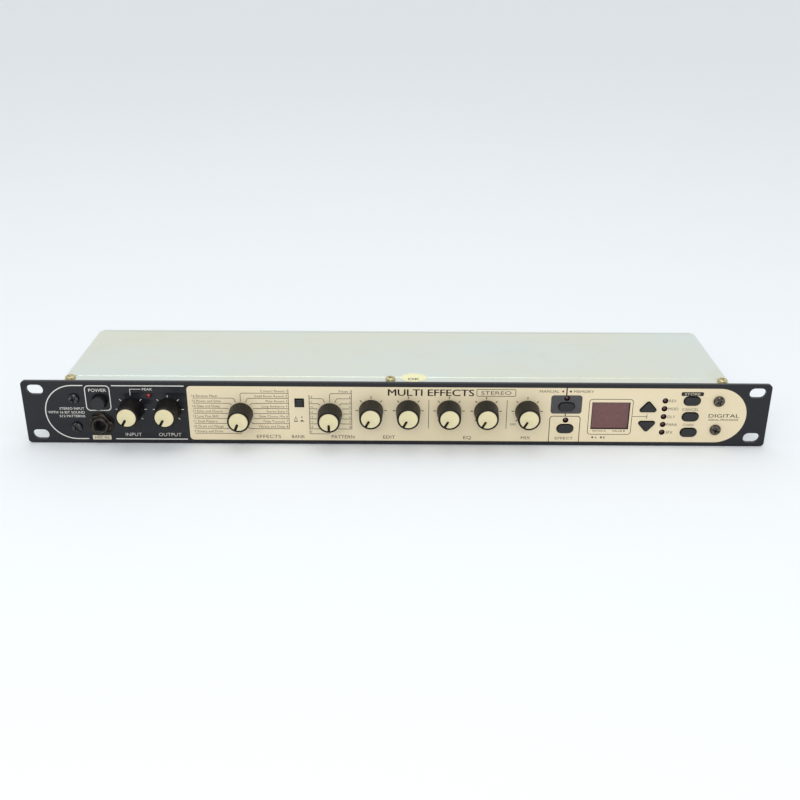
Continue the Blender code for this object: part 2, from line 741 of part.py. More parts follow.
def make_data_socket():
    """A five-pin round socket: a shell, a ring-shaped gap and a face with five holes."""
    wall = -SHEET - GAP
    body = block((-10 * MM, -10 * MM, wall - 14 * MM), (10 * MM, 10 * MM, wall))
    shell = drum(7.2 * MM, wall - MM, 0.6 * MM, sides=24)
    ring = combined(
        drum(6.7 * MM, wall - 8 * MM, 2 * MM, sides=24),
        cut=[drum(5.2 * MM, wall - 9 * MM, -0.2 * MM, sides=20)],
    )
    pins = [
        drum(
            0.75 * MM,
            wall - 7 * MM,
            2 * MM,
            3.5 * MM * math.sin(angle),
            3.5 * MM * math.cos(angle),
            8,
        )
        for angle in (math.radians(45 * k) for k in (-2, -1, 0, 1, 2))
    ]
    mesh = combined(combined(body, joined=[shell]), cut=[ring, *pins])
    piece("data_socket", mesh, SOCKET_BLACK, (DATA_SOCKET_X, CASE_BACK_Y, DATA_SOCKET_Z), FACING_BACK)


def make_power_inlet():
    """A barrel socket for an outside supply, with its centre pin."""
    wall = -SHEET - GAP
    body = block((-4.6 * MM, -5.5 * MM, wall - 12 * MM), (4.6 * MM, 5.5 * MM, wall))
    barrel = drum(4.1 * MM, wall - MM, 0.8 * MM)
    bore = combined(
        drum(2.9 * MM, wall - 9 * MM, 2 * MM, sides=16),
        cut=[drum(1.05 * MM, wall - 10 * MM, -1.5 * MM, sides=10)],
    )
    mesh = combined(combined(body, joined=[barrel]), cut=[bore])
    piece("power_inlet", mesh, SOCKET_BLACK, (POWER_INLET_X, CASE_BACK_Y, POWER_INLET_Z), FACING_BACK)


# ---------------------------------------------------------------- boards


def make_control_board():
    """The upright board behind the panel, with what is soldered to it: potentiometer and
    selector housings, key switches, lamps' holders and the two latching switches."""
    front, back = CONTROL_BOARD_Y, CONTROL_BOARD_Y + BOARD
    outline = rectangle(0, 21.25 * MM, 422 * MM, 37.9 * MM)
    round_jack = rectangle(JACK_X, JACK_Z, JACK_BODY + 3.6 * MM, JACK_BODY_HEIGHT + 3.2 * MM)
    board = extruded([outline, round_jack], -back, -front)
    joined, cuts = [], []

    def housing(x, z, half_x, half_z, depth):
        """A box on the board's front face. Local Y is up, and +Z points to the front."""
        joined.append(
            block((x - half_x, z - half_z, -back + 0.4 * MM), (x + half_x, z + half_z, -front + depth))
        )

    for _, x, z, selector, _ in KNOBS:
        half = (7.5 if selector else 5.5) * MM
        depth = (9.0 if selector else 7.0) * MM
        housing(x, z, half, half, depth)
        joined.append(drum(4.5 * MM, -front, -4.5 * MM, x, z, 12))
        cuts.append(drum(SHAFT_RADIUS + GAP, -front + MM, 0, x, z, 12))
    for _, x, z in OBLONGS:
        housing(x, z, 3 * MM, 3 * MM, 4.5 * MM)
        joined.append(drum(1.7 * MM, -front, -10.3 * MM, x, z, 12))
    for z, _ in arrow_places():
        housing(ARROW_COLUMN_X, z, 3 * MM, 3 * MM, 4.5 * MM)
        joined.append(drum(1.7 * MM, -front, -10.3 * MM, ARROW_COLUMN_X, z, 12))
    for x, z in ((POWER_X, POWER_Z), (BANK_X, BANK_Z)):
        housing(x, z, 4 * MM, 4 * MM, 7.5 * MM)
        cuts.append(drum(2.2 * MM, -front + 1.5 * MM, 0, x, z, 12))
    header = block((-40 * MM, 14 * MM, -back - 3 * MM), (-12 * MM, 20 * MM, -back + 0.5 * MM))
    joined.append(header)
    piece("control_board", board, BOARD_GREEN, rotation=FACING_FRONT, joined=joined, cut=cuts)


def make_main_board():
    """The board on the floor of the case, with its posts and what is soldered to it."""
    low, high = MAIN_BOARD_Z, MAIN_BOARD_Z + BOARD
    board = block((-206 * MM, MAIN_BOARD_FRONT_Y, low), (206 * MM, 96.5 * MM, high))
    seat = high - 0.4 * MM
    joined = [
        drum(3 * MM, CASE_BOTTOM_Z + SHEET + GAP, seat, x, y, 12)
        for x in (-198 * MM, 0, 198 * MM)
        for y in (MAIN_BOARD_FRONT_Y + 5 * MM, 68 * MM)
    ]
    chips = (
        # centre x, centre y, width, depth, height
        (60, 50, 24, 24, 3),
        (20, 50, 12, 20, 3),
        (100, 52, 20, 9, 4),
        (135, 52, 20, 9, 4),
        (165, 52, 20, 9, 4),
        (-70, 52, 20, 9, 4),
        (-100, 60, 28, 14, 5),
        (-160, 60, 30, 4, 25),
        (-26, 44, 28, 6, 6),
    )
    for x, y, width, depth, height in chips:
        joined.append(
            block(
                ((x - width / 2) * MM, (y - depth / 2) * MM, seat),
                ((x + width / 2) * MM, (y + depth / 2) * MM, high + height * MM),
            )
        )
    cans = (
        # centre x, centre y, radius, height
        (-140, 80, 8, 26),
        (-120, 82, 6.3, 20),
        (-105, 84, 5, 12),
        (130, 78, 4, 9),
        (145, 78, 4, 9),
        (160, 78, 4, 9),
        (50, 80, 4, 9),
    )
    for x, y, radius, height in cans:
        joined.append(drum(radius * MM, seat, high + height * MM, x * MM, y * MM, 14))
    piece("main_board", board, BOARD_GREEN, joined=joined)


def make_ribbon_cable():
    """A flat cable that leaves the control board's header and folds down to the main
    board's header."""
    start = Vector((CONTROL_BOARD_Y + BOARD + 3 * MM + GAP, 17 * MM))
    end = Vector((44 * MM, MAIN_BOARD_Z + BOARD + 6 * MM + GAP))
    reach = 10 * MM
    handles = (start, start + Vector((reach, 0)), end + Vector((0, reach)), end)
    steps, half = 14, 0.5 * MM

    def along(t):
        a, b, c, d = handles
        s = 1 - t
        return s**3 * a + 3 * s * s * t * b + 3 * s * t * t * c + t**3 * d

    upper, lower = [], []
    for i in range(steps + 1):
        t = i / steps
        here = along(t)
        ahead = along(min(t + 0.01, 1)) - along(max(t - 0.01, 0))
        across = Vector((-ahead.y, ahead.x)).normalized() * half
        upper.append(tuple(here + across))
        lower.append(tuple(here - across))
    strip = extruded([lower + upper[::-1]], -12 * MM, 12 * MM)
    # the outline's (x, y) is the unit's (y, z), and its thickness runs along x
    turn = Matrix(((0, 0, 1, 0), (1, 0, 0, 0), (0, 1, 0, 0), (0, 0, 0, 1)))
    strip.transform(turn)
    piece("ribbon_cable", strip, RIBBON_GREY, (-26 * MM, 0, 0))


def smooth_round_pieces():
    for obj in PARTS.objects:
        if obj.type == "MESH":
            obj.data.shade_smooth()
            obj.data.set_sharp_from_angle(angle=math.radians(32))


def main():
    make_front_panel()
    make_chassis_tray()
    make_top_cover()
    make_screws()
    make_knobs()
    make_buttons()
    make_display()
    make_front_jack()
    make_rear_sockets()
    make_control_board()
    make_main_board()
    make_ribbon_cable()
    smooth_round_pieces()
    bpy.context.view_layer.update()


main()
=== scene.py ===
"""The looks of a one-unit rack effects processor, laid over its CAD frame.

Shapes are drawn in millimetres on a face of the unit. On the front panel x runs from the
panel's centre and y from its lower edge, as a front view shows them, and a mesh's local
+Z points out of the face. Every piece rides on the CAD body that carries it.
"""

import json
import math

import bmesh
import bpy
from mathutils import Matrix, Vector


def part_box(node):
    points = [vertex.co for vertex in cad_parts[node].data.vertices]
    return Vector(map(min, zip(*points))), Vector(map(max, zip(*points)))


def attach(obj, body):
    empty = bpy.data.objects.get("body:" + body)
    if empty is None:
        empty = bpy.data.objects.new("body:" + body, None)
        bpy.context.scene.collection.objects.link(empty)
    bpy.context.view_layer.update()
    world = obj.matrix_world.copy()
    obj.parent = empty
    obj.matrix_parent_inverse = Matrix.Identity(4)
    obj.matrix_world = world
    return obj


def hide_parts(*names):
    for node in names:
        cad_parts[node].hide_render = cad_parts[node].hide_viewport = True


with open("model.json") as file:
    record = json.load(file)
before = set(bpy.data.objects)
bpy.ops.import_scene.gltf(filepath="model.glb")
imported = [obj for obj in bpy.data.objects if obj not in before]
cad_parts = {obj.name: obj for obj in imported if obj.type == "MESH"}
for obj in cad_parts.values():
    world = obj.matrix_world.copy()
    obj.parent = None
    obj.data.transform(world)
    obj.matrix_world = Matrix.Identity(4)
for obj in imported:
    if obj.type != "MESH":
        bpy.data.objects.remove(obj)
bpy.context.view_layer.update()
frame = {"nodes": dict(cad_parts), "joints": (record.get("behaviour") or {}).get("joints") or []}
MM = 0.001


# ---- places from the frame


def box_mm(node):
    """A CAD node's lowest and highest corners, in millimetres."""
    low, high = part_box(node)
    return low / MM, high / MM


def middle(node):
    """The centre of a CAD node in a front view."""
    low, high = box_mm(node)
    return (low.x + high.x) / 2, (low.z + high.z) / 2


def joint_middle(name):
    """Where a hinge's axis meets a front view."""
    for joint in frame["joints"]:
        if joint["name"] == name:
            x, _, z = joint["pos_m"]
            return x / MM, z / MM
    raise KeyError(name)


PANEL_LOW, PANEL_HIGH = box_mm("front_panel")
TRAY_BACK = box_mm("chassis_tray")[1].y
COVER_TOP = box_mm("top_cover")[1].z
PANEL_WIDTH = PANEL_HIGH.x - PANEL_LOW.x
PANEL_HEIGHT = PANEL_HIGH.z - PANEL_LOW.z
PANEL_THICKNESS = PANEL_HIGH.y - PANEL_LOW.y
MID_Z = PANEL_HEIGHT / 2
PANEL_CORNER = 2.5
RACK_HOLES_ACROSS = 465.1
RACK_HOLES_UP = 31.75
RACK_SLOT = (10.8, 7.0)

# Each face's own space: x to the right, y up or back, z out of the face
FRONT = Matrix.Translation((0, PANEL_LOW.y * MM, 0)) @ Matrix.Rotation(math.radians(90), 4, "X")
REAR = (
    Matrix.Translation((0, TRAY_BACK * MM, 0))
    @ Matrix.Rotation(math.radians(180), 4, "Z")
    @ Matrix.Rotation(math.radians(90), 4, "X")
)
TOP = Matrix.Translation((0, PANEL_LOW.y * MM, COVER_TOP * MM))
FILM = 0.05  # one coat of printing

# Knobs: how far each pointer is turned to the left from twelve o'clock
POT_TURN = math.radians(150)
SELECTOR_STEP = math.tau / 16
POTS = ("input_level", "output_level", "edit_1", "edit_2", "eq_low", "eq_high", "mix")
LEVELS = ("input_level", "output_level")  # on the black part of the panel
SELECTORS = ("effect_select", "pattern_select")
KNOB_TURNS = {name: POT_TURN for name in POTS}
KNOB_TURNS["effect_select"] = 7 * SELECTOR_STEP
KNOB_TURNS["pattern_select"] = 8 * SELECTOR_STEP
KNOB_REACH = 13.7

# The groups of small controls
LAMP_X = 173.55
LAMP_PITCH = 5.6
ROWS_MID_Z = middle("cancel_button")[1]
BYPASS_X = middle("memory_button")[0]
PEAK_LAMP = (-159.4, 34.3)
MEMORY_LAMP = (BYPASS_X, 33.7)
EFFECT_LAMP = (BYPASS_X, 18.3)
LAMP_COLUMN = [(LAMP_X, ROWS_MID_Z + LAMP_PITCH * k) for k in (2, 1, 0, -1, -2)]
PANEL_LAMPS = (MEMORY_LAMP, EFFECT_LAMP, *LAMP_COLUMN)
OBLONG = (10.0, 5.6)
OBLONG_BUTTONS = ("store", "cancel", "channel", "memory", "effect")
ARROW_WIDTH = 12.2
ARROW_HEIGHT = 7.1
BANK_SIDE = 5.0
POWER_RADIUS = 4.4
WINDOW = (24.2, 18.7)
LAMP_HOLE = 1.7  # radius
CLEARANCE = 0.4  # round a button or a shaft, on each side
BUTTON_FLANGE = 0.7  # how far a flange stands out round its cap
BUTTON_PROUD = 1.25
BANK_TRAVEL = 2.5


# ---- outlines


def circle(x, y, radius, sides=48):
    return [
        (x + radius * math.cos(math.tau * i / sides), y + radius * math.sin(math.tau * i / sides))
        for i in range(sides)
    ]


def arc(x, y, radius, start, end, steps=32):
    """Points along an arc. Its angles are in degrees, anticlockwise from +x."""
    angles = [math.radians(start + (end - start) * k / steps) for k in range(steps + 1)]
    return [(x + radius * math.cos(a), y + radius * math.sin(a)) for a in angles]


def filleted(points, radius, closed=True):
    """The points joined by straight lines, with an arc of that radius at each corner."""
    steps = 6
    result = []
    for i, point in enumerate(points):
        if not closed and i in (0, len(points) - 1):
            result.append(tuple(point))
            continue
        here = Vector(point)
        back = (Vector(points[i - 1]) - here).normalized()
        on = (Vector(points[(i + 1) % len(points)]) - here).normalized()
        half = back.angle(on) / 2
        centre = here + (back + on).normalized() * radius / math.sin(half)
        start = here + back * radius / math.tan(half) - centre
        sweep = math.pi - 2 * half
        if back.cross(on) > 0:
            sweep = -sweep
        for k in range(steps + 1):
            result.append(tuple(centre + Matrix.Rotation(sweep * k / steps, 2) @ start))
    return result


def rectangle(x, y, width, height, radius=0.0):
    w, h = width / 2, height / 2
    corners = [(x - w, y - h), (x + w, y - h), (x + w, y + h), (x - w, y + h)]
    return filleted(corners, radius) if radius else corners


def span(x0, x1, y0, y1, radius=0.0):
    """A rectangle from its sides' places."""
    return rectangle((x0 + x1) / 2, (y0 + y1) / 2, x1 - x0, y1 - y0, radius)


def stadium(x, y, width, height):
    radius, steps = height / 2, 16
    reach = width / 2 - radius
    return arc(x + reach, y, radius, -90, 90, steps) + arc(x - reach, y, radius, 90, 270, steps)


def arrow(x, y, side, grow=0.0):
    """A rounded triangle about (x, y) that points up (side 1) or down (side -1). All its
    edges can lie further out, by grow."""
    slope = math.atan2(ARROW_HEIGHT, ARROW_WIDTH / 2)
    base = y - side * (ARROW_HEIGHT / 2 + grow)
    tip = y + side * (ARROW_HEIGHT / 2 + grow / math.cos(slope))
    half = ARROW_WIDTH / 2 + grow / math.tan(slope / 2)
    corners = [(x - half, base), (x + half, base), (x, tip)]
    if side < 0:
        corners.reverse()
    return filleted(corners, 1.0 + grow)


def beside(points, distance, closed):
    """The points moved sideways, to the left of the way they run."""
    moved = []
    last = len(points) - 1
    for i, point in enumerate(points):
        here = Vector(point)
        before = Vector(points[i - 1]) if closed or i > 0 else None
        after = Vector(points[(i + 1) % len(points)]) if closed or i < last else None
        ways = []
        if before is not None and (here - before).length > 1e-6:
            ways.append((here - before).normalized())
        if after is not None and (after - here).length > 1e-6:
            ways.append((after - here).normalized())
        way = sum(ways, Vector((0, 0))).normalized()
        mitre = 1 / max(0.5, way.dot(ways[0]))
        moved.append(tuple(here + Vector((-way.y, way.x)) * distance * mitre))
    return moved


def stroke(points, width):
    """The outline of a line that runs through the points."""
    return beside(points, width / 2, False) + beside(points, -width / 2, False)[::-1]


# ---- meshes, in millimetres


def baked(obj):
    """The evaluated mesh of a helper object, welded, and the helper removed."""
    bpy.context.view_layer.update()
    graph = bpy.context.evaluated_depsgraph_get()
    mesh = bpy.data.meshes.new_from_object(obj.evaluated_get(graph))
    bpy.data.objects.remove(obj)
    shape = bmesh.new()
    shape.from_mesh(mesh)
    bmesh.ops.remove_doubles(shape, verts=shape.verts, dist=0.0005)
    bmesh.ops.recalc_face_normals(shape, faces=shape.faces)
    shape.to_mesh(mesh)
    shape.free()
    return mesh


def helper(data):
    obj = bpy.data.objects.new("helper", data)
    bpy.context.scene.collection.objects.link(obj)
    return obj


def extruded(outlines, low, high, bevel=0.0, bevel_steps=2):
    """A closed mesh from an outline and any holes in it, from low to high along local Z,
    with its edges rounded over by bevel."""
    curve = bpy.data.curves.new("outline", "CURVE")
    curve.dimensions = "2D"
    curve.fill_mode = "BOTH"
    curve.extrude = (high - low) / 2 - bevel
    curve.bevel_depth = bevel
    curve.bevel_resolution = bevel_steps
    curve.offset = -bevel
    for outline in outlines:
        spline = curve.splines.new("POLY")
        spline.points.add(len(outline) - 1)
        for point, (x, y) in zip(spline.points, outline):
            point.co = (x, y, 0, 1)
        spline.use_cyclic_u = True
    mesh = baked(helper(curve))
    mesh.transform(Matrix.Translation((0, 0, (low + high) / 2)))
    return mesh


def as_mesh(shape):
    mesh = bpy.data.meshes.new("shape")
    shape.to_mesh(mesh)
    shape.free()
    return mesh


def skinned(shape, rings):
    """Faces from each ring of vertices to the next. A ring of one vertex is a point."""
    for near, far in zip(rings, rings[1:]):
        sides = max(len(near), len(far))
        for i in range(sides):
            k = (i + 1) % sides
            if len(near) == 1:
                shape.faces.new((near[0], far[i], far[k]))
            elif len(far) == 1:
                shape.faces.new((near[i], far[0], near[k]))
            else:
                shape.faces.new((near[i], far[i], far[k], near[k]))


def turned(profile, sides=64):
    """A closed profile of (radius, height) points, turned about local Z. A profile that
    starts and ends on the axis closes itself; any other is a ring."""
    shape = bmesh.new()
    rings = []
    for radius, height in profile:
        if radius == 0:
            rings.append([shape.verts.new((0, 0, height))])
            continue
        rings.append([shape.verts.new((x, y, height)) for x, y in circle(0, 0, radius, sides)])
    if len(rings[0]) > 1:
        rings.append(rings[0])
    skinned(shape, rings)
    bmesh.ops.recalc_face_normals(shape, faces=shape.faces)
    return as_mesh(shape)


def combined(mesh, operation, others):
    """A mesh joined to, cut by or kept inside other meshes."""
    obj = helper(mesh)
    tools = []
    for other in others:
        tool = helper(other)
        tools.append(tool)
        modifier = obj.modifiers.new("tool", "BOOLEAN")
        modifier.operation = operation
        modifier.object = tool
        modifier.solver = "EXACT"
    result = baked(obj)
    for tool in tools:
        bpy.data.objects.remove(tool)
    return result


def gathered(meshes):
    """Several meshes in one, each left as it is."""
    shape = bmesh.new()
    for mesh in meshes:
        shape.from_mesh(mesh)
    return as_mesh(shape)


def raised(mesh, z):
    copy = mesh.copy()
    copy.transform(Matrix.Translation((0, 0, z)))
    return copy


# ---- pieces


def piece(name, mesh, finish, face, slot, at=(0, 0), out=0.0, turn=0.0, body="unit",
          replaces=(), sharp=35):
    """A named piece from a mesh in millimetres, placed on a face of the unit."""
    mesh = mesh.copy()
    mesh.transform(Matrix.Scale(MM, 4))
    mesh.materials.clear()
    mesh.materials.append(finish)
    mesh.shade_smooth()
    mesh.set_sharp_from_angle(angle=math.radians(sharp))
    obj = bpy.data.objects.new(name, mesh)
    bpy.context.scene.collection.objects.link(obj)
    place = Vector((at[0], at[1], out)) * MM
    obj.matrix_world = face @ Matrix.Translation(place) @ Matrix.Rotation(turn, 4, "Z")
    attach(obj, body)
    if replaces:
        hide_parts(*replaces)


class Print:
    """Printing in one colour: thin closed shapes gathered into one mesh."""

    def __init__(self, low=-0.01, high=FILM):
        self.low, self.high = low, high
        self.meshes = []

    def area(self, *outlines):
        self.meshes.append(extruded(outlines, self.low, self.high))

    def line(self, points, width):
        self.area(stroke(points, width))

    def ring(self, points, width):
        """A closed line, its points listed anticlockwise."""
        self.area(beside(points, -width / 2, True), beside(points, width / 2, True))

    def dot(self, x, y, radius):
        self.area(circle(x, y, radius, 24))

    def text(self, words, x, y, height, align="LEFT", width=None, weight=0.0):
        """Words whose capitals stand height tall on a baseline through y. Their width
        can be stated too, and weight thickens or thins their strokes."""
        mesh = lettering(words, weight)
        low = min(v.co.x for v in mesh.vertices)
        high = max(v.co.x for v in mesh.vertices)
        stretch = width / (high - low) if width else height
        anchor = {"LEFT": low, "CENTER": (low + high) / 2, "RIGHT": high}[align]
        depth = self.high - self.low
        scale = Matrix.Diagonal((stretch, height, depth, 1))
        place = Matrix.Translation((x, y, (self.low + self.high) / 2))
        mesh.transform(place @ scale @ Matrix.Translation((-anchor, 0, 0)))
        self.meshes.append(mesh)

    def finished(self, name, finish, slot="panel_paint", face=FRONT):
        piece(name, gathered(self.meshes), finish, face, slot)


CAPITAL = 0.729  # the built-in font's capitals, in parts of its size


def lettering(words, weight):
    """Words as a closed mesh one unit thick, with capitals one unit tall."""
    curve = bpy.data.curves.new("words", "FONT")
    curve.body = words
    curve.size = 1 / CAPITAL
    curve.extrude = 0.5
    curve.offset = weight
    curve.resolution_u = 3
    return baked(helper(curve))


# ---- materials


def finish(name, colour, roughness, metallic=0.0, **sockets):
    """A Principled material. sockets sets its other inputs, named with underscores."""
    made = bpy.data.materials.new(name)
    made.use_nodes = True
    shader = made.node_tree.nodes["Principled BSDF"]
    shader.inputs["Base Color"].default_value = (*colour, 1)
    shader.inputs["Roughness"].default_value = roughness
    shader.inputs["Metallic"].default_value = metallic
    for socket, value in sockets.items():
        shader.inputs[socket.replace("_", " ")].default_value = value
    return made


def node(made, kind, inputs=(), **settings):
    """A node of that kind in a material, its inputs set to values or linked to outputs."""
    new = made.node_tree.nodes.new(kind)
    for name, value in settings.items():
        setattr(new, name, value)
    for name, value in dict(inputs).items():
        if isinstance(value, bpy.types.NodeSocket):
            made.node_tree.links.new(value, new.inputs[name])
        else:
            new.inputs[name].default_value = value
    return new


def drive(made, socket, value):
    shader = made.node_tree.nodes["Principled BSDF"]
    made.node_tree.links.new(value, shader.inputs[socket])


def noise(made, scale, detail=3.0, stretch=(1, 1, 1), seed=0.0, roughness=0.5):
    """Noise from 0 to 1. scale is how many blotches there are to a metre."""
    place = node(made, "ShaderNodeTexCoord").outputs["Object"]
    steps = {"Vector": place, "Scale": stretch, "Location": (seed, seed / 3, seed / 7)}
    stretched = node(made, "ShaderNodeMapping", steps).outputs["Vector"]
    inputs = {"Vector": stretched, "Scale": scale, "Detail": detail, "Roughness": roughness}
    return node(made, "ShaderNodeTexNoise", inputs).outputs["Fac"]


def ranged(made, value, from_low, from_high, to_low, to_high):
    """A value carried from one range to another, and held inside it."""
    limits = {"From Min": from_low, "From Max": from_high, "To Min": to_low, "To Max": to_high}
    return node(made, "ShaderNodeMapRange", {"Value": value, **limits}).outputs["Result"]


def tinted(made, factor, first, second):
    """The first colour where factor is 0, and the second where it is 1."""
    inputs = {0: factor}
    for i, colour in ((6, first), (7, second)):
        inputs[i] = colour if isinstance(colour, bpy.types.NodeSocket) else (*colour, 1)
    return node(made, "ShaderNodeMix", inputs, data_type="RGBA").outputs[2]


def coloured(made, factor, first, second):
    drive(made, "Base Color", tinted(made, factor, first, second))


def roughened(made, value, *limits):
    drive(made, "Roughness", ranged(made, value, *limits))


def bumped(made, height, depth_mm, strength):
    """Raises the surface by a height from 0 to 1, depth_mm at most."""
    inputs = {"Height": height, "Distance": depth_mm * MM, "Strength": strength}
    bump = node(made, "ShaderNodeBump", inputs)
    drive(made, "Normal", bump.outputs["Normal"])


def total(made, first, second, share):
    """The first value plus a share of the second."""
    inputs = {0: second, 1: share, 2: first}
    return node(made, "ShaderNodeMath", inputs, operation="MULTIPLY_ADD").outputs[0]


def panel_black():
    """Satin black baked paint with a fine orange peel, faint dust and rubbed patches."""
    made = finish("panel_black", (0.012, 0.012, 0.015), 0.3, Specular_IOR_Level=0.32)
    patches = noise(made, 28, 4, seed=2)
    dust = ranged(made, noise(made, 1400, 2, seed=5), 0.68, 0.82, 0, 0.35)
    coloured(made, dust, (0.012, 0.012, 0.015), (0.07, 0.068, 0.066))
    roughened(made, patches, 0.3, 0.7, 0.22, 0.33)
    bumped(made, noise(made, 1500, 2, seed=8), 0.02, 0.5)
    return made


def cream_paint():
    """Screen-printed cream ink, slightly yellowed in soft patches."""
    made = finish("cream_paint", (0.75, 0.65, 0.44), 0.45)
    age = ranged(made, noise(made, 16, 4, seed=11), 0.3, 0.7, 0, 1)
    grime = ranged(made, noise(made, 900, 3, seed=13), 0.62, 0.85, 0, 0.25)
    aged = tinted(made, age, (0.75, 0.645, 0.44), (0.72, 0.61, 0.405))
    coloured(made, grime, aged, (0.58, 0.48, 0.31))
    roughened(made, noise(made, 60, 3, seed=4), 0.3, 0.7, 0.3, 0.4)
    bumped(made, noise(made, 1500, 2, seed=8), 0.012, 0.5)
    return made


def ink(name, colour, roughness=0.5, fade=0.4):
    """One coat of printing ink, a little thinner in places."""
    made = finish(name, colour, roughness, Specular_IOR_Level=0.3)
    worn = ranged(made, noise(made, 700, 3, seed=17), 0.45, 0.9, 0, fade)
    lighter = tuple(0.75 * c + 0.25 * 0.3 for c in colour)
    coloured(made, worn, colour, lighter)
    return made


def zinc(name="zinc_sheet", seed=0.0):
    """Zinc-plated steel with a pale green and yellow chromate film, rolling lines,
    handling smudges and short scratches."""
    made = finish(name, (0.78, 0.82, 0.76), 0.34, 0.85)
    cloud = ranged(made, noise(made, 9, 3, (1, 1.6, 1), seed=seed + 1), 0.35, 0.68, 0, 1)
    film = tinted(made, cloud, (0.77, 0.83, 0.785), (0.80, 0.815, 0.70))
    smudge = ranged(made, noise(made, 26, 6, seed=seed + 3, roughness=0.6), 0.56, 0.8, 0, 0.55)
    stained = tinted(made, smudge, film, (0.74, 0.74, 0.58))
    scratch = ranged(made, noise(made, 140, 2, (1, 18, 4), seed=seed + 9), 0.74, 0.8, 0, 0.4)
    coloured(made, scratch, stained, (0.62, 0.63, 0.58))
    lines = noise(made, 30, 4, (1, 90, 90), seed=seed + 5)
    rough = total(made, ranged(made, cloud, 0, 1, 0.30, 0.36), lines, 0.12)
    drive(made, "Roughness", rough)
    bumped(made, total(made, lines, noise(made, 500, 2, seed=seed), 0.3), 0.01, 0.35)
    return made


def plated(name, dark, light, roughness):
    """Plated steel of a screw or a nut, rubbed lighter in small patches."""
    made = finish(name, light, roughness, 1.0)
    rub = ranged(made, noise(made, 500, 4, seed=3), 0.35, 0.65, 0, 1)
    coloured(made, rub, dark, light)
    roughened(made, noise(made, 900, 3), 0.3, 0.7, roughness - 0.06, roughness + 0.1)
    bumped(made, noise(made, 2500, 2), 0.01, 0.4)
    return made


def moulded(name, colour, roughness, depth=0.02, specular=0.5):
    """Moulded plastic with a fine spark-eroded grain."""
    grain, spread = 1800, 0.08
    made = finish(name, colour, roughness, Specular_IOR_Level=specular)
    soft = ranged(made, noise(made, 120, 3, seed=6), 0.3, 0.7, 0, 1)
    darker = tuple(c * 0.82 for c in colour)
    coloured(made, soft, colour, darker)
    roughened(made, soft, 0, 1, roughness - spread / 2, roughness + spread / 2)
    bumped(made, noise(made, grain, 2), depth, 0.6)
    return made


def lamp_red(name, colour):
    """Tinted clear plastic of an unlit lamp."""
    made = finish(name, colour, 0.12, IOR=1.5, Coat_Weight=0.6, Coat_Roughness=0.05)
    depth = ranged(made, noise(made, 900, 2), 0.3, 0.7, 0, 1)
    coloured(made, depth, colour, tuple(c * 0.6 for c in colour))
    return made


def smoked():
    """The display's smoked red-brown window, with a faint mottle under its gloss."""
    made = finish("smoked_window", (0.13, 0.05, 0.048), 0.16, Coat_Weight=0.3, Coat_Roughness=0.08)
    mottle = ranged(made, noise(made, 300, 4, seed=21), 0.3, 0.7, 0, 1)
    coloured(made, mottle, (0.142, 0.052, 0.050), (0.118, 0.044, 0.043))
    roughened(made, mottle, 0, 1, 0.14, 0.24)
    return made


def unlit_segment():
    """A display's segment that isn't lit, seen through the smoked window."""
    made = finish("unlit_segment", (0.15, 0.058, 0.055), 0.2)
    roughened(made, noise(made, 400), 0.3, 0.7, 0.15, 0.25)
    return made


def board_green():
    """Green solder resist over copper tracks."""
    made = finish("board_green", (0.03, 0.16, 0.07), 0.35)
    tracks = ranged(made, noise(made, 220, 1, (1, 1, 6), seed=2), 0.47, 0.52, 0, 1)
    coloured(made, tracks, (0.02, 0.12, 0.05), (0.05, 0.22, 0.09))
    bumped(made, tracks, 0.03, 0.4)
    return made


def ribbon_grey():
    """A flat cable of round wires side by side. Its one grey is painted darker in the grooves
    between the wires and lighter along their crowns: painted shade and painted highlight.
    """
    made = finish("ribbon_grey", (0.42, 0.42, 0.44), 0.45)
    place = node(made, "ShaderNodeTexCoord").outputs["Object"]
    inputs = {"Vector": place, "Scale": 125.0, "Distortion": 0.0}
    wires = node(made, "ShaderNodeTexWave", inputs, bands_direction="X").outputs["Fac"]
    # painted shade and highlight: the darker grey falls in the grooves and the lighter grey on the
    # crowns that the bump below raises
    coloured(made, wires, (0.30, 0.30, 0.32), (0.47, 0.47, 0.49))
    bumped(made, wires, 0.4, 0.8)
    return made


def table_white():
    """A plain pale table, faintly uneven."""
    made = finish("table_white", (0.88, 0.905, 0.925), 0.6, Specular_IOR_Level=0.3)
    roughened(made, noise(made, 3, 3), 0.3, 0.7, 0.55, 0.65)
    return made


PANEL_BLACK = panel_black()
CREAM = cream_paint()
WHITE_INK = ink("white_ink", (0.70, 0.68, 0.63))
DARK_INK = ink("dark_ink", (0.014, 0.012, 0.012), fade=0.15)
CREAM_INK = ink("cream_ink", (0.62, 0.55, 0.41))
PATCH_INK = ink("patch_ink", (0.062, 0.060, 0.063))
RED_INK = ink("red_ink", (0.20, 0.035, 0.02))
ZINC = zinc()
ZINC_TRAY = zinc("zinc_tray", 40.0)
GOLD_SCREW = plated("gold_screw", (0.45, 0.37, 0.18), (0.74, 0.66, 0.40), 0.27)
DARK_SCREW = plated("dark_screw", (0.04, 0.035, 0.03), (0.17, 0.15, 0.125), 0.26)
BLACK_SCREW = plated("black_screw", (0.02, 0.02, 0.021), (0.10, 0.098, 0.10), 0.24)
NUT_METAL = plated("nut_metal", (0.022, 0.019, 0.015), (0.075, 0.064, 0.05), 0.26)
BARREL_METAL = plated("barrel_metal", (0.028, 0.025, 0.022), (0.085, 0.076, 0.068), 0.3)
BRIGHT_METAL = plated("bright_metal", (0.55, 0.55, 0.54), (0.75, 0.74, 0.72), 0.28)
KNOB_PLASTIC = moulded("knob_plastic", (0.009, 0.0075, 0.0065), 0.42, specular=0.24)
CAP_PLASTIC = moulded("cap_plastic", (0.75, 0.665, 0.40), 0.35, depth=0.008)
BUTTON_RUBBER = moulded("button_rubber", (0.015, 0.015, 0.0165), 0.42, specular=0.4)
SOCKET_PLASTIC = moulded("socket_plastic", (0.012, 0.012, 0.013), 0.35, specular=0.4)
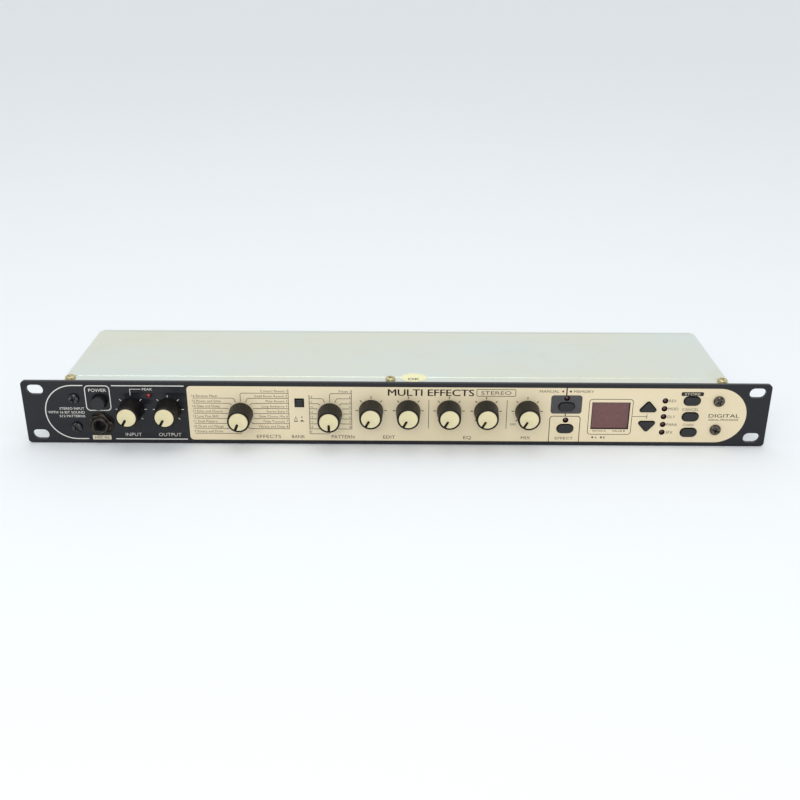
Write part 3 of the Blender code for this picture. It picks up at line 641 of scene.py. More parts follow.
DISPLAY_CASE = moulded("display_case", (0.22, 0.20, 0.20), 0.5)
LAMP_RED = lamp_red("lamp_red", (0.06, 0.005, 0.004))
PEAK_RED = lamp_red("peak_red", (0.22, 0.004, 0.012))
SMOKED = smoked()
UNLIT = unlit_segment()
BOARD_GREEN = board_green()
RIBBON_GREY = ribbon_grey()
STICKER = ink("sticker_yellow", (0.86, 0.82, 0.50), 0.4)


# ---- front panel


def rack_slots():
    return [
        stadium(sx * RACK_HOLES_ACROSS / 2, MID_Z + sz * RACK_HOLES_UP / 2, *RACK_SLOT)
        for sx in (-1, 1)
        for sz in (-1, 1)
    ]


def arrow_middle(name):
    """The middle of an arrow button's height, which its rounded tip doesn't reach."""
    low, high = box_mm(name)
    inside = BUTTON_FLANGE + ARROW_HEIGHT / 2
    return middle(name)[0], low.z + inside if name == "up_button" else high.z - inside


def control_holes(grow=0.0):
    """The holes of the panel's small controls."""
    clear = CLEARANCE + grow
    holes = [circle(x, z, LAMP_HOLE + grow, 32) for x, z in PANEL_LAMPS]
    for name in OBLONG_BUTTONS:
        x, z = middle(f"{name}_button")
        holes.append(stadium(x, z, OBLONG[0] + 2 * clear, OBLONG[1] + 2 * clear))
    for name, side in (("up_button", 1), ("down_button", -1)):
        holes.append(arrow(*arrow_middle(name), side, clear))
    side = BANK_SIDE + 2 * clear
    holes.append(rectangle(*middle("bank_button"), side, side))
    holes.append(rectangle(*middle("display_window"), WINDOW[0] + 2 * grow, WINDOW[1] + 2 * grow))
    return holes


def shaft_holes(names, clear=CLEARANCE):
    """Round holes for the knobs' shafts, a little wider than the shafts."""
    holes = []
    for name in names:
        low, high = box_mm(f"{name}_shaft")
        radius = max(high.x - low.x, high.z - low.z) / 2
        holes.append(circle(*joint_middle(f"{name}_turn"), radius + clear))
    return holes


def make_panel():
    outline = rectangle(0, MID_Z, PANEL_WIDTH, PANEL_HEIGHT, PANEL_CORNER)
    holes = rack_slots() + control_holes() + shaft_holes([*POTS, *SELECTORS])
    holes.append(circle(*PEAK_LAMP, LAMP_HOLE, 32))
    holes.append(circle(*middle("power_button"), POWER_RADIUS + CLEARANCE))
    holes.append(circle(*middle("front_jack"), 5.8))
    plate = extruded([outline, *holes], -PANEL_THICKNESS, 0, bevel=0.25)
    piece("front_panel_plate", plate, PANEL_BLACK, FRONT, "panel_paint", replaces=["front_panel"])


FIELD_TOP = 41.0
FIELD_BOTTOM = 2.8
FIELD_LEFT = -134.7
FIELD_END_X = 207.9
FIELD_CORNER = 2.5
INK_BACK = 0.25  # from a hole's edge to the edge of the ink round it


def make_cream_field():
    """The cream area of the panel: square on the left, a half circle on the right."""
    field = Print()
    middle_z = (FIELD_TOP + FIELD_BOTTOM) / 2
    radius = (FIELD_TOP - FIELD_BOTTOM) / 2
    xs = (FIELD_END_X, FIELD_LEFT, FIELD_LEFT, FIELD_END_X)
    zs = (FIELD_TOP, FIELD_TOP, FIELD_BOTTOM, FIELD_BOTTOM)
    outline = filleted(list(zip(xs, zs)), FIELD_CORNER, closed=False)
    outline += arc(FIELD_END_X, middle_z, radius, -90, 90, 64)[1:-1]
    in_field = [name for name in (*POTS, *SELECTORS) if name not in LEVELS]
    field.area(outline, *control_holes(INK_BACK), *shaft_holes(in_field, CLEARANCE + INK_BACK))
    field.finished("cream_field", CREAM)


def ticks(coat, x, z, angles, width=0.4):
    """Marks round a knob, at angles to the left of the top in degrees."""
    inner, outer = 8.5, 10.1
    for angle in angles:
        way = Vector((-math.sin(math.radians(angle)), math.cos(math.radians(angle))))
        here = Vector((x, z))
        coat.line([here + way * inner, here + way * outer], width)


POT_TICKS = (0, 45, -45, 90, -90, 135, -135)


def make_white_print():
    """The printing on the black end of the panel."""
    white = Print()
    loop_x, loop_z, radius = -208.3, 22.0, 18.95
    top, bottom = loop_z + radius, loop_z - radius
    loop = [(-201.25, top), *arc(loop_x, loop_z, radius, 90, 270, 48), (-201.25, bottom)]
    white.line(loop, 0.65)
    white.line([(-183.0, top), (-136.3, top)], 0.65)
    white.line([(-183.6, bottom), (-136.5, bottom)], 0.65)
    white.ring(span(-200.3, -184.5, 23.5, 40.8, 2.5), 0.6)
    white.text("POWER", -192.2, 36.6, 2.3, "CENTER", 11.4)
    for words, x0, z in (
        ("STEREO INPUT", -218.0, 23.9),
        ("WITH 16 BIT SOUND", -225.8, 21.2),
        ("512 PATTERNS", -218.5, 18.5),
    ):
        white.text(words, -202.0, z, 1.75, "RIGHT", -202.0 - x0)
    white.text("INPUT", -171.7, 5.1, 2.5, "CENTER", 10.5, weight=-0.015)
    white.text("OUTPUT", -147.9, 5.1, 2.5, "CENTER", 14.8, weight=-0.015)
    white.text("PEAK", -163.3, 37.7, 1.8, "LEFT", 6.6)
    white.line([(-171.25, 34.3), (-171.25, 38.6), (-164.2, 38.6)], 0.35)
    ticks(white, *joint_middle("input_level_turn"), POT_TICKS[1:])
    ticks(white, *joint_middle("output_level_turn"), POT_TICKS)
    white.finished("white_print", WHITE_INK)
    plate = Print()
    plate.area(span(-198.8, -186.6, 2.5, 5.6, 0.3))
    plate.finished("jack_label", CREAM_INK)


LEFT_PROGRAMS = (
    "16 Reverse Mixer",
    "15 Power and Echo",
    "14 Gate and Delay",
    "13 Echo and Chorus",
    "12 Low Pass Shift",
    "11 Dual Phasers",
    "10 Drum and Flange",
    "9 Rotary and Drive",
)
RIGHT_PROGRAMS = (
    "Concert Reverb 1",
    "Small Room Reverb 2",
    "Plate Reverb 3",
    "Long Ambience 4",
    "Stereo Echo 5",
    "Slow Chorus Mix 6",
    "Wide Tremolo 7",
    "Vibrato and Delay 8",
)
ROW_STEP = 3.6
LIST_LINE = 0.32


def fan_lines(coat, x, z, side, far_x):
    """A selector's eight lines on one side. Each leaves the knob at its own position, then
    bends level and runs to far_x. Returns the rows' heights from the top down."""
    heights = []
    for k in range(8):
        position = k + (1 if side < 0 else 0)
        angle = position * SELECTOR_STEP
        row = z + ROW_STEP * (4 - position)
        way = Vector((side * math.sin(angle), math.cos(angle)))
        start = Vector((x, z)) + way * 8.6
        heights.append(row)
        if position == 4:
            coat.line([start, (far_x, row)], LIST_LINE)
            continue
        corner = Vector((x, z)) + way * abs((row - z) / math.cos(angle))
        path = filleted([start, corner, (far_x, row)], 1.4, closed=False)
        coat.line(path, LIST_LINE)
    return heights


def list_side(coat, selector, side, far_x, words, shift, rise, height):
    """A selector's lines on one side, with the words of each above its far end."""
    rows = fan_lines(coat, *joint_middle(f"{selector}_turn"), side, far_x)
    align = "LEFT" if side < 0 else "RIGHT"
    for line, row in zip(words, rows):
        coat.text(line, far_x + shift, row + rise, height, align, weight=-0.012)
    return rows


def list_edge(coat, x, rows, over):
    """The upright line at a list's edge, which starts over its top row."""
    coat.line([(x, rows[0] + over), (x, rows[-1])], LIST_LINE)


def print_effect_list(coat):
    left, right, rise, height = -131.2, -69.5, 0.75, 1.75
    list_side(coat, "effect_select", -1, left, LEFT_PROGRAMS, -0.4, rise, height)
    rows = list_side(coat, "effect_select", 1, right, RIGHT_PROGRAMS, -0.8, rise, height)
    list_edge(coat, right, rows, 2.9)


def print_pattern_list(coat):
    left, right, over, rise, height = -56.15, -28.8, 2.6, 0.6, 1.6
    falling = [str(16 - k) for k in range(8)]
    rows = list_side(coat, "pattern_select", -1, left, falling, 0.5, rise, height)
    list_edge(coat, left, rows, over)
    rising = [str(k + 1) for k in range(8)]
    rows = list_side(coat, "pattern_select", 1, right, rising, -0.6, rise, height)
    list_edge(coat, right, rows, over)
    coat.text("Preset", right - 2.2, rows[0] + 0.7, 1.7, "RIGHT", weight=-0.012)


def print_bank_marks(coat):
    """The two small pictures of the bank button, out and in."""
    x = middle("bank_button")[0]
    for side, raised in ((-1, True), (1, False)):
        here = x - 0.6 + side * 2.0
        coat.line([(here - 1.4, 16.3), (here + 1.4, 16.3)], 0.25)
        if raised:
            coat.ring(span(here - 0.8, here + 0.8, 16.6, 18.2), 0.25)
        else:
            coat.area(span(here - 0.8, here + 0.8, 16.6, 17.3))
        coat.text("AB"[side > 0], here, 18.7, 1.3, "CENTER")


def print_section_names(coat):
    names = (
        ("EFFECTS", -91.1, -75.3),
        ("BANK", -68.1, -59.5),
        ("PATTERN", -42.1, -27.2),
        ("EDIT", -8.3, -0.6),
        ("EQ", 44.1, 49.2),
        ("MIX", 81.8, 87.8),
    )
    for words, x0, x1 in names:
        coat.text(words, (x0 + x1) / 2, 4.2, 2.45, "CENTER", x1 - x0, weight=-0.008)
    for x in (21.15, 71.7):
        coat.line([(x, 11.75), (x, 32.2)], 0.35)
    coat.text("DRY", 76.2, 14.3, 1.5, "CENTER", weight=-0.01)
    for name in ("edit_1", "edit_2", "eq_low", "eq_high", "mix"):
        ticks(coat, *joint_middle(f"{name}_turn"), POT_TICKS, width=0.5)


def print_title(coat):
    for shift in (0.0, 0.22):  # struck twice, for bolder strokes
        coat.text("MULTI EFFECTS", -5.3 + shift, 35.0, 4.8, "LEFT", 55.3)
    coat.ring(span(51.9, 76.9, 35.0, 39.7, 0.6), 0.35)
    coat.text("STEREO", 64.4, 36.1, 2.6, "CENTER", 19.4, weight=-0.01)


def print_bypass(coat):
    """The lines and words round the memory and effect buttons."""
    x = BYPASS_X
    stem = x - 0.45
    coat.line([(stem, FIELD_TOP), (stem, 35.7)], 0.8)
    coat.line([(stem, 23.0), (stem, 21.2)], 0.6)
    coat.text("MANUAL", 104.9, 37.7, 1.85, "RIGHT", 12.6, weight=-0.01)
    coat.text("MEMORY", 114.2, 37.7, 1.85, "LEFT", 12.8, weight=-0.01)
    coat.dot(112.2, 38.6, 0.7)
    left, right, top = 99.9, 119.6, 21.1
    box = [(left, FIELD_BOTTOM), (left, top), (right, top), (right, FIELD_BOTTOM)]
    coat.line(filleted(box, 2.0, closed=False), 0.45)
    coat.text("EFFECT", x - 0.2, 4.3, 1.9, "CENTER", 11.7, weight=-0.01)


def print_display_marks(coat):
    coat.ring(span(124.9, 153.0, 8.2, 33.25, 2.0), 0.35)
    coat.text("PATCH A", 128.3, 10.1, 1.3, "LEFT", 8.7)
    coat.text("VALUE B", 149.4, 10.1, 1.3, "RIGHT", 8.4)
    for dot_x, words in ((128.5, "A"), (134.2, "B")):
        coat.dot(dot_x, 6.0, 0.65)
        coat.text(words, dot_x + 1.5, 5.2, 1.5)
    arrow_x = middle("up_button")[0]
    coat.line([(153.1, ROWS_MID_Z), (arrow_x - 0.45, ROWS_MID_Z)], 0.3)
    coat.line([(arrow_x - 0.3, ROWS_MID_Z - 1.6), (arrow_x - 0.3, ROWS_MID_Z + 1.6)], 0.3)


def print_right_group(coat):
    for (x, z), words in zip(LAMP_COLUMN, ("REV", "MOD", "DLY", "PARA", "SFX")):
        coat.text(words, x + 2.5, z - 1.05, 2.1, weight=-0.012)
    coat.area(span(183.4, 197.7, 35.85, 38.6, 0.8))
    coat.text("CANCEL", 190.4, 25.5, 1.8, "CENTER", 10.6, weight=-0.012)
    coat.text("CHAN", 190.1, 14.5, 1.8, "CENTER", 6.8, weight=-0.012)
    coat.text("DIGITAL", 212.6, 20.7, 2.6, "CENTER", 19.9)
    coat.text("SIGNAL PROCESSOR", 212.6, 18.45, 1.3, "CENTER", 19.6)


def make_dark_print():
    """The printing on the cream area."""
    dark = Print(0.0, 2 * FILM)
    print_effect_list(dark)
    print_pattern_list(dark)
    print_bank_marks(dark)
    print_section_names(dark)
    print_title(dark)
    print_bypass(dark)
    print_display_marks(dark)
    print_right_group(dark)
    dark.text("MIC IN", -192.7, 3.3, 1.5, "CENTER", 9.0)
    dark.finished("dark_print", DARK_INK)
    patch = Print(0.0, 1.6 * FILM)
    holes = [stadium(*middle("memory_button"), OBLONG[0] + 1.0, OBLONG[1] + 1.0)]
    holes.append(circle(*MEMORY_LAMP, 1.9, 32))
    patch.area(span(99.95, 120.05, 22.9, 35.95, 2.0), *holes)
    patch.finished("memory_patch", PATCH_INK)
    light = Print(FILM, 2.6 * FILM)
    light.text("STORE", 190.5, 36.35, 1.75, "CENTER", 10.0)
    light.finished("store_word", CREAM_INK)
    red = Print(0.0, 2 * FILM)
    red.dot(107.3, 38.6, 0.7)
    red.finished("manual_dot", RED_INK)


# ---- knobs


def knob_mesh():
    """A tapered knob with shallow flutes and a rim round its cap."""
    base, face = 0.5, KNOB_REACH
    rear_radius, front_radius = 8.0, 7.2
    floor = face - 1.5
    flutes, flute_depth = 30, 0.05
    sides = flutes * 6
    steps = 14

    shape = bmesh.new()
    rings = []
    levels = [(0, 0.0, 0.35), (0.03, 0.6, 0.0)]
    levels += [(0.06 + 0.86 * k / steps, 1.0, 0.0) for k in range(steps + 1)]
    levels += [(0.95, 0.5, 0.0), (0.98, 0.0, 0.06), (1.0, 0.0, 0.32)]
    for t, share, inset in levels:
        ring = []
        height = base + (face - base) * t
        for i in range(sides):
            angle = math.tau * i / sides
            groove = 0.5 - 0.5 * math.cos(flutes * angle)
            radius = rear_radius + (front_radius - rear_radius) * t
            radius -= inset + flute_depth * share * groove
            place = (radius * math.cos(angle), radius * math.sin(angle), height)
            ring.append(shape.verts.new(place))
        rings.append(ring)
    inner = ((6.2, face - 0.02), (6.14, face - 0.14), (6.12, floor), (2.0, floor))
    for radius, height in inner:
        rings.append([shape.verts.new((x, y, height)) for x, y in circle(0, 0, radius, sides)])
    skinned(shape, rings)
    shape.faces.new(rings[-1])
    shape.faces.new(rings[0][::-1])
    bmesh.ops.recalc_face_normals(shape, faces=shape.faces)
    return as_mesh(shape)


def cap_outline():
    """The cap's edge, with a round-ended notch from near its middle out through its rim."""
    radius, half, inner = 6.0, 0.85, 1.6
    start = math.degrees(math.asin(half / radius))
    rim = arc(0, 0, radius, 90 + start, 450 - start, 96)
    notch = arc(0, inner + half, half, 0, -180, 16)
    return rim + notch


def make_knobs():
    knob = knob_mesh()
    cap = extruded([cap_outline()], KNOB_REACH - 1.4, KNOB_REACH - 0.04, bevel=0.16, bevel_steps=3)
    for name, turn in KNOB_TURNS.items():
        at = joint_middle(f"{name}_turn")
        common = {"face": FRONT, "at": at, "turn": turn, "body": name}
        piece(f"{name}_grip", knob, KNOB_PLASTIC, slot="knob_black",
              replaces=[f"{name}_knob"], sharp=50, **common)
        piece(f"{name}_dial", cap, CAP_PLASTIC, slot="cap_cream",
              replaces=[f"{name}_cap"], sharp=50, **common)
        frame["nodes"][f"{name}_shaft"].data.materials[0] = BRIGHT_METAL


# ---- push buttons


def button_cap(outline, proud, comes_out=0.0):
    """A soft-edged cap through the panel, with its flange and stem behind. The flange
    stays behind the panel when the cap comes out."""
    stop = -PANEL_THICKNESS - 0.3 - comes_out
    cap = extruded([outline], stop - 0.5, proud, bevel=0.45, bevel_steps=4)
    flange = extruded([beside(outline, -BUTTON_FLANGE, True)], stop - 1.0, stop, bevel=0.15)
    stem = turned([(0, stop - 0.7), (1.5, stop - 0.7), (1.5, -9.4), (1.3, -9.6), (0, -9.6)], 24)
    return gathered([cap, flange, stem])


def put_button(name, mesh, coat, at, sharp=35):
    piece(f"{name}_key", mesh, coat, FRONT, "button_grey",
          at=at, body=name, replaces=[f"{name}_button"], sharp=sharp)


def make_buttons():
    oblong = button_cap(stadium(0, 0, *OBLONG), BUTTON_PROUD)
    for name in OBLONG_BUTTONS:
        put_button(name, oblong, BUTTON_RUBBER, middle(f"{name}_button"))
    for name, side in (("up", 1), ("down", -1)):
        key = button_cap(arrow(0, 0, side), BUTTON_PROUD)
        put_button(name, key, BUTTON_RUBBER, arrow_middle(f"{name}_button"))
    bank = button_cap(rectangle(0, 0, BANK_SIDE, BANK_SIDE, 0.3), 1.0, comes_out=BANK_TRAVEL)
    put_button("bank", bank, SOCKET_PLASTIC, middle("bank_button"))
    proud, edge = 4.8, POWER_RADIUS
    hollow = [(0, proud - 0.35), (edge - 1.8, proud - 0.3), (edge - 0.7, proud - 0.05)]
    rim = [(edge - 0.45, proud), (edge - 0.2, proud - 0.08), (edge - 0.05, proud - 0.3)]
    side = [(edge, proud - 0.6), (edge, -3.3)]
    flange = [(edge + 1.0, -3.3), (edge + 1.0, -4.3)]
    stem = [(1.8, -4.3), (1.8, -10.5), (0, -10.5)]
    power = turned(hollow + rim + side + flange + stem)
    put_button("power", power, BUTTON_RUBBER, middle("power_button"), sharp=50)


# ---- lamps and display


def lamp_mesh(proud):
    """A round-topped lamp with a collar behind the panel."""
    radius = 1.5
    dome = [(radius * math.sin(a), proud - radius * 0.6 * (1 - math.cos(a)))
            for a in (math.radians(15 * k) for k in range(7))]
    body = [(radius, -4.0), (1.9, -4.0), (1.9, -5.0), (0, -5.0)]
    return turned(dome + body, 32)


def make_lamps():
    lamp = lamp_mesh(-0.5)
    for i, at in enumerate(PANEL_LAMPS):
        piece(f"lamp_{i + 1}", lamp, LAMP_RED, FRONT, "window_smoke", at=at)
    piece("peak_lamp", lamp_mesh(1.1), PEAK_RED, FRONT, "window_smoke", at=PEAK_LAMP)


def digit_segments(x):
    """The seven bars of one digit, leaning a little to the right."""
    height, width, thick, inset, lean = 11.0, 6.2, 1.1, 0.7, 0.12
    half = height / 2
    bars = []
    for level in (-half, 0, half):
        ends = [(x - width / 2 + inset, level), (x + width / 2 - inset, level)]
        bars.append(stroke(ends, thick))
    for side in (-1, 1):
        upright = x + side * width / 2
        for low in (-half + inset, inset):
            ends = [(upright, low), (upright, low + half - 2 * inset)]
            bars.append(stroke(ends, thick))
    return [[(px + lean * py, py) for px, py in bar] for bar in bars]


def make_display():
    at = middle("display_window")
    inset = rectangle(0, 0, WINDOW[0] - 0.4, WINDOW[1] - 0.4, 0.4)
    lens = extruded([inset], -3.5, -0.7, bevel=0.15)
    flange = extruded([rectangle(0, 0, WINDOW[0] + 3.6, WINDOW[1] + 3.6, 0.5)], -4.0, -3.0)
    piece("display_lens", gathered([lens, flange]), SMOKED, FRONT, "window_smoke", at=at,
          replaces=["display_window"])
    digits = Print(-0.72, -0.68)
    for x in (-4.6, 4.4):
        for bar in digit_segments(x):
            digits.area(bar)
    piece("display_digits", gathered(digits.meshes), UNLIT, FRONT, "window_smoke", at=at)
    frame["nodes"]["display_module"].data.materials[0] = DISPLAY_CASE


# ---- screws


def cross_cutter(top, arm):
    """A Phillips recess: two crossed blades that narrow downwards."""
    width, depth, narrowing = 0.5, 1.3, 0.55
    blades = []
    for long_x, long_y in ((arm, width), (width, arm)):
        shape = bmesh.new()
        bmesh.ops.create_cube(shape, size=1)
        for vert in shape.verts:
            low = vert.co.z < 0
            taper = narrowing if low else 1.0
            vert.co.x *= 2 * long_x * taper
            vert.co.y *= 2 * long_y * taper
            vert.co.z = top - depth if low else top + 1
        blades.append(as_mesh(shape))
    return combined(blades[0], "UNION", [blades[1]])


def screw_mesh(radius, length, height=2.0, shank=1.5):
    """A pan-head screw with a flat middle, a cross recess and a ringed shank. Its head
    rests on 0."""
    flat, side = 0.5 * radius, 0.4 * height
    crown = [
        (flat + (radius - flat) * math.sin(a), side + (height - side) * math.cos(a))
        for a in (math.radians(15 * k) for k in range(7))
    ]
    profile = [(0, height), *crown, (radius, 0.12 * height), (radius - 0.15, 0), (shank, 0)]
    pitch = 0.6
    for k in range(int(length / pitch)):
        low = -pitch * k
        profile += [(shank, low - 0.1), (shank - 0.25, low - 0.3), (shank, low - 0.5)]
    profile += [(shank - 0.4, -length), (0, -length)]
    return combined(turned(profile, 48), "DIFFERENCE", [cross_cutter(height, 0.6 * radius)])


COVER_STEP = 0.3  # how far the cover's front strip lies below the rest


def make_screws():
    panel_screw = screw_mesh(3.6, 8.0)
    for i, turn in enumerate((12, 47, 33, 78)):
        name = f"panel_screw_{i + 1}"
        at = middle(name)
        metal = BLACK_SCREW if at[0] < 0 else DARK_SCREW
        piece(f"{name}_head", panel_screw, metal, FRONT, "dark_screw", at=at, out=FILM,
              turn=math.radians(turn), replaces=[name], sharp=40)
    cover_screw = screw_mesh(3.3, 5.5)
    for i, turn in enumerate((25, 62, 8)):
        name = f"cover_screw_{i + 1}"
        low, high = box_mm(name)
        at = (middle(name)[0], (low.y + high.y) / 2 - PANEL_LOW.y)
        piece(f"{name}_head", cover_screw, GOLD_SCREW, TOP, "zinc_screw", at=at,
              out=FILM - COVER_STEP, turn=math.radians(turn), replaces=[name], sharp=40)


# ---- sockets

JACK_BODY = (16, 14, 0.6)  # width, height and the corners' radius


def threaded(low, high, bore):
    """A threaded sleeve with a rounded mouth and a blind bore."""
    radius, depth, pitch, cut = 5.5, 22.0, 0.7, 0.3
    profile = [(0, high - depth), (bore, high - depth), (bore, high - 0.6), (bore + 0.5, high)]
    profile += [(radius - 0.6, high), (radius - 0.25, high - 0.3)]
    level = high - 0.5
    while level - pitch > low:
        profile += [(radius - cut, level), (radius, level - pitch / 2)]
        level -= pitch
    profile += [(radius - cut, level), (radius - cut, low), (0, low)]
    return turned(profile)


def nut_mesh(thickness):
    """A hexagon nut with its corners turned off on its outer side."""
    across, bore = 14.0, 5.6
    corner = across / 2 / math.cos(math.pi / 6)
    prism = extruded([circle(0, 0, corner, 6)], 0, thickness)
    outer = [(0, thickness), (across / 2 - 0.1, thickness), (corner + 0.05, thickness - 0.75)]
    inner = [(corner + 0.05, 0.3), (across / 2 + 0.3, 0), (0, 0)]
    cone = turned(outer + inner)
    mouth = [(0, thickness + 1), (bore + 1.4, thickness + 1), (bore, thickness - 0.4)]
    hole = turned([*mouth, (bore, -1), (0, -1)])
    rounded_off = combined(prism, "INTERSECT", [cone])
    return combined(rounded_off, "DIFFERENCE", [hole])


def washer(radius):
    bore, thickness = 5.7, 0.6
    return extruded([circle(0, 0, radius, 64), circle(0, 0, bore, 64)], 0, thickness, bevel=0.08)


def make_front_jack():
    at = middle("front_jack_nut")
    body = extruded([rectangle(0, 0, *JACK_BODY)], -22.0, -PANEL_THICKNESS, bevel=0.3)
    sleeve = threaded(-PANEL_THICKNESS - 1, 4.2, 3.75)
    liner = turned([(0, -16.5), (3.3, -16.5), (3.3, 2.6), (3.7, 2.6), (3.7, -17.0), (0, -17.0)])
    piece("front_jack_housing", gathered([body, liner]), SOCKET_PLASTIC, FRONT, "socket_black",
          at=at, replaces=["front_jack"])
    piece("front_jack_sleeve", sleeve, BARREL_METAL, FRONT, "socket_black", at=at)
    nut = gathered([washer(7.9), raised(nut_mesh(1.9), 0.65)])
    piece("front_jack_hexagon", nut, NUT_METAL, FRONT, "nut_dark", at=at, out=0.02,
          turn=math.radians(11), replaces=["front_jack_nut"])


REAR_JACKS = (
    ("input_left_jack", "L / MONO"),
    ("input_right_jack", "R"),
    ("output_left_jack", "L / MONO"),
    ("output_right_jack", "R"),
    ("footswitch_jack", "FOOT SWITCH"),
)


def rear_at(node_name):
    """The centre of a rear socket as a view of the back shows it."""
    x, z = middle(node_name)
    return -x, z


def make_rear_jacks():
    body = extruded([rectangle(0, 0, *JACK_BODY)], -20.3, -1.3, bevel=0.3)
    sleeve = threaded(-2.0, 8.0, 3.3)
    jack = gathered([body, sleeve])
    nut = gathered([washer(7.8), raised(nut_mesh(2.2), 0.62)])
    for i, (name, _) in enumerate(REAR_JACKS):
        at = rear_at(name)
        piece(f"{name}_sleeve", jack, SOCKET_PLASTIC, REAR, "socket_black", at=at, replaces=[name])
        piece(f"{name}_nut", nut, BRIGHT_METAL, REAR, "socket_black", at=at, out=0.02,
              turn=math.radians(17 * i))


def make_data_socket():
    """The round five-pin socket's bright shell, its face of pins and its two screws."""
    x, z = rear_at("data_socket")
    rim = turned([(7.2, -1.5), (7.2, 0.35), (7.0, 0.6), (6.85, 0.6), (6.7, 0.4), (6.7, -9.0),
                  (7.2, -9.0)])
    pins = [circle(3.5 * math.sin(a), 3.5 * math.cos(a), 0.75, 16)
            for a in (math.radians(45 * k) for k in (-2, -1, 0, 1, 2))]
    key = rectangle(0, -4.4, 1.4, 1.0)
    face = extruded([circle(0, 0, 5.2, 48), *pins, key], -8.5, 0.2)
    screw = screw_mesh(2.6, 6.0, height=1.8, shank=1.2)
    piece("data_socket_rim", rim, BRIGHT_METAL, REAR, "socket_black", at=(x, z))
    piece("data_socket_face", face, SOCKET_PLASTIC, REAR, "socket_black", at=(x, z))
    for i, side in enumerate((-1, 1)):
        piece(f"data_socket_screw_{i + 1}", screw, BLACK_SCREW, REAR, "socket_black",
              at=(x + side * 11.2, z), out=FILM, turn=math.radians(35 + 50 * i))


def make_power_inlet():
    at = rear_at("power_inlet")
    rim = turned([(4.1, -1.5), (4.1, 0.55), (3.9, 0.8), (3.1, 0.8), (2.9, 0.6), (2.9, -8.0),
                  (4.1, -8.0)])
    pin = turned([(0, -1.5), (0.7, -1.6), (1.0, -2.0), (1.0, -9.0), (0, -9.0)], 24)
    piece("power_inlet_rim", rim, SOCKET_PLASTIC, REAR, "socket_black", at=at)
    piece("power_inlet_pin", pin, BRIGHT_METAL, REAR, "socket_black", at=at)


def make_rear_print():
    dark = Print()
    for name, words in REAR_JACKS:
        x, z = rear_at(name)
        dark.text(words, x, z + 10.0, 2.0, "CENTER")
    for first, second, words in (
        ("input_left_jack", "input_right_jack", "INPUT"),
        ("output_left_jack", "output_right_jack", "OUTPUT"),
    ):
        x0, z = rear_at(first)
        x1, _ = rear_at(second)
        centre, level = (x0 + x1) / 2, z + 16.0
        dark.text(words, centre, level - 1.1, 2.3, "CENTER")
        for side, x in ((-1, min(x0, x1)), (1, max(x0, x1))):
            end = x + side * 6
            dark.line([(end, level - 2.4), (end, level), (centre + side * 8, level)], 0.35)
    x, z = rear_at("data_socket")
    dark.text("DATA IN", x, z + 12.5, 2.0, "CENTER")
    x, z = rear_at("power_inlet")
    dark.text("DC IN", x, z + 8.5, 2.0, "CENTER")
    dark.finished("rear_print", DARK_INK, "zinc_plate", REAR)


# ---- case


def dress_case():
    """Gives the CAD's own meshes their plating and plastics, with their edges rounded."""
    for name, coat, radius in (
        ("top_cover", ZINC, 0.2),
        ("chassis_tray", ZINC_TRAY, 0.3),
        ("data_socket", SOCKET_PLASTIC, 0.12),
        ("power_inlet", SOCKET_PLASTIC, 0.12),
        ("control_board", BOARD_GREEN, 0.1),
        ("main_board", BOARD_GREEN, 0.1),
        ("ribbon_cable", RIBBON_GREY, 0.1),
    ):
        shape = frame["nodes"][name]
        shape.data.materials[0] = coat
        edges = shape.modifiers.new("edges", "BEVEL")
        edges.width = radius * MM
        edges.segments = 3
        edges.limit_method = "ANGLE"
        edges.angle_limit = math.radians(40)
        edges.harden_normals = True


def make_sticker():
    """A small oval inspection label that follows the cover's shallow step."""
    centre_x, centre_y, half_x, half_y = 11.4, 12.0, 8.2, 6.6
    step_y, drop = 13.0, COVER_STEP
    sides, rings = 64, 14
    shape = bmesh.new()

    def height(y):
        t = min(max((y - step_y + 0.5) / 0.7, 0), 1)
        return -drop * (1 - t * t * (3 - 2 * t)) + 0.03

    edges = []
    for thick in (0.1, 0.0):
        rows = [[shape.verts.new((centre_x, centre_y, height(centre_y) + thick))]]
        for r in range(1, rings + 1):
            row = []
            for x, y in circle(0, 0, r / rings, sides):
                px, py = centre_x + half_x * x, centre_y + half_y * y
                row.append(shape.verts.new((px, py, height(py) + thick)))
            rows.append(row)
        skinned(shape, rows)
        edges.append(rows[-1])
    skinned(shape, edges)
    bmesh.ops.recalc_face_normals(shape, faces=shape.faces)
    piece("oval_label", as_mesh(shape), STICKER, TOP, "zinc_plate")
    word = Print(0.11 - drop, 0.18 - drop)
    word.text("OK", centre_x, step_y - 5.0, 3.8, "CENTER", weight=0.01)
    word.finished("label_word", DARK_INK, "zinc_plate", TOP)


# ---- stage


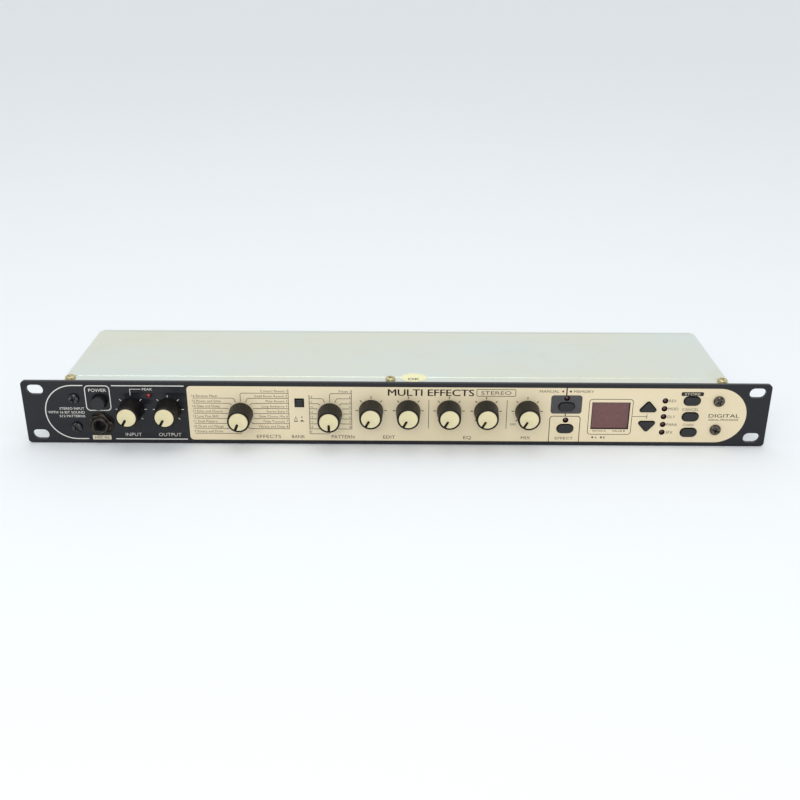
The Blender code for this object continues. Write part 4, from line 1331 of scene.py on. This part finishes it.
def make_stage():
    mesh = bpy.data.meshes.new("table")
    size = 12.0
    corners = [(-size, -size, 0), (size, -size, 0), (size, size, 0), (-size, size, 0)]
    mesh.from_pydata(corners, [], [(0, 1, 2, 3)])
    mesh.materials.append(table_white())
    table = bpy.data.objects.new("table", mesh)
    bpy.context.scene.collection.objects.link(table)
    table.location = (0, 0, -0.0002)


def add_light(name, place, target, size, power):
    data = bpy.data.lights.new(name, "AREA")
    data.shape = "RECTANGLE"
    data.size, data.size_y = size
    data.energy = power
    light = bpy.data.objects.new(name, data)
    light.location = place
    aim = Vector(target) - Vector(place)
    light.rotation_euler = aim.to_track_quat("-Z", "Y").to_euler()
    bpy.context.scene.collection.objects.link(light)


def make_lights():
    world = bpy.data.worlds.new("studio")
    world.use_nodes = True
    background = world.node_tree.nodes["Background"]
    background.inputs["Color"].default_value = (0.955, 0.98, 1.0, 1)
    background.inputs["Strength"].default_value = 0.85
    bpy.context.scene.world = world
    add_light("overhead", (0.0, 0.0, 1.4), (0, 0, 0), (1.0, 0.9), 2.4)
    add_light("front_fill", (-0.15, -1.45, 0.95), (0, 0, 0.02), (1.5, 0.5), 8.5)


def make_camera():
    data = bpy.data.cameras.new("camera")
    data.lens = 46.36
    data.sensor_width = 36
    data.clip_start, data.clip_end = 0.01, 50
    camera = bpy.data.objects.new("camera", data)
    camera.location = (0.0037, PANEL_LOW.y * MM - 0.6059, 0.3039)
    elevation, yaw, roll = (math.radians(a) for a in (24.17, -0.11, -0.26))
    level = Matrix.Rotation(-yaw, 4, "Z") @ Matrix.Rotation(math.pi / 2 - elevation, 4, "X")
    camera.rotation_euler = (level @ Matrix.Rotation(-roll, 4, "Z")).to_euler()
    bpy.context.scene.collection.objects.link(camera)
    bpy.context.scene.camera = camera


def main():
    bpy.context.scene.view_settings.view_transform = "Standard"
    make_camera()
    make_lights()
    make_stage()
    make_panel()
    make_cream_field()
    make_white_print()
    make_dark_print()
    make_knobs()
    make_buttons()
    make_lamps()
    make_display()
    make_screws()
    make_front_jack()
    make_rear_jacks()
    make_data_socket()
    make_power_inlet()
    make_rear_print()
    make_sticker()
    dress_case()


main()
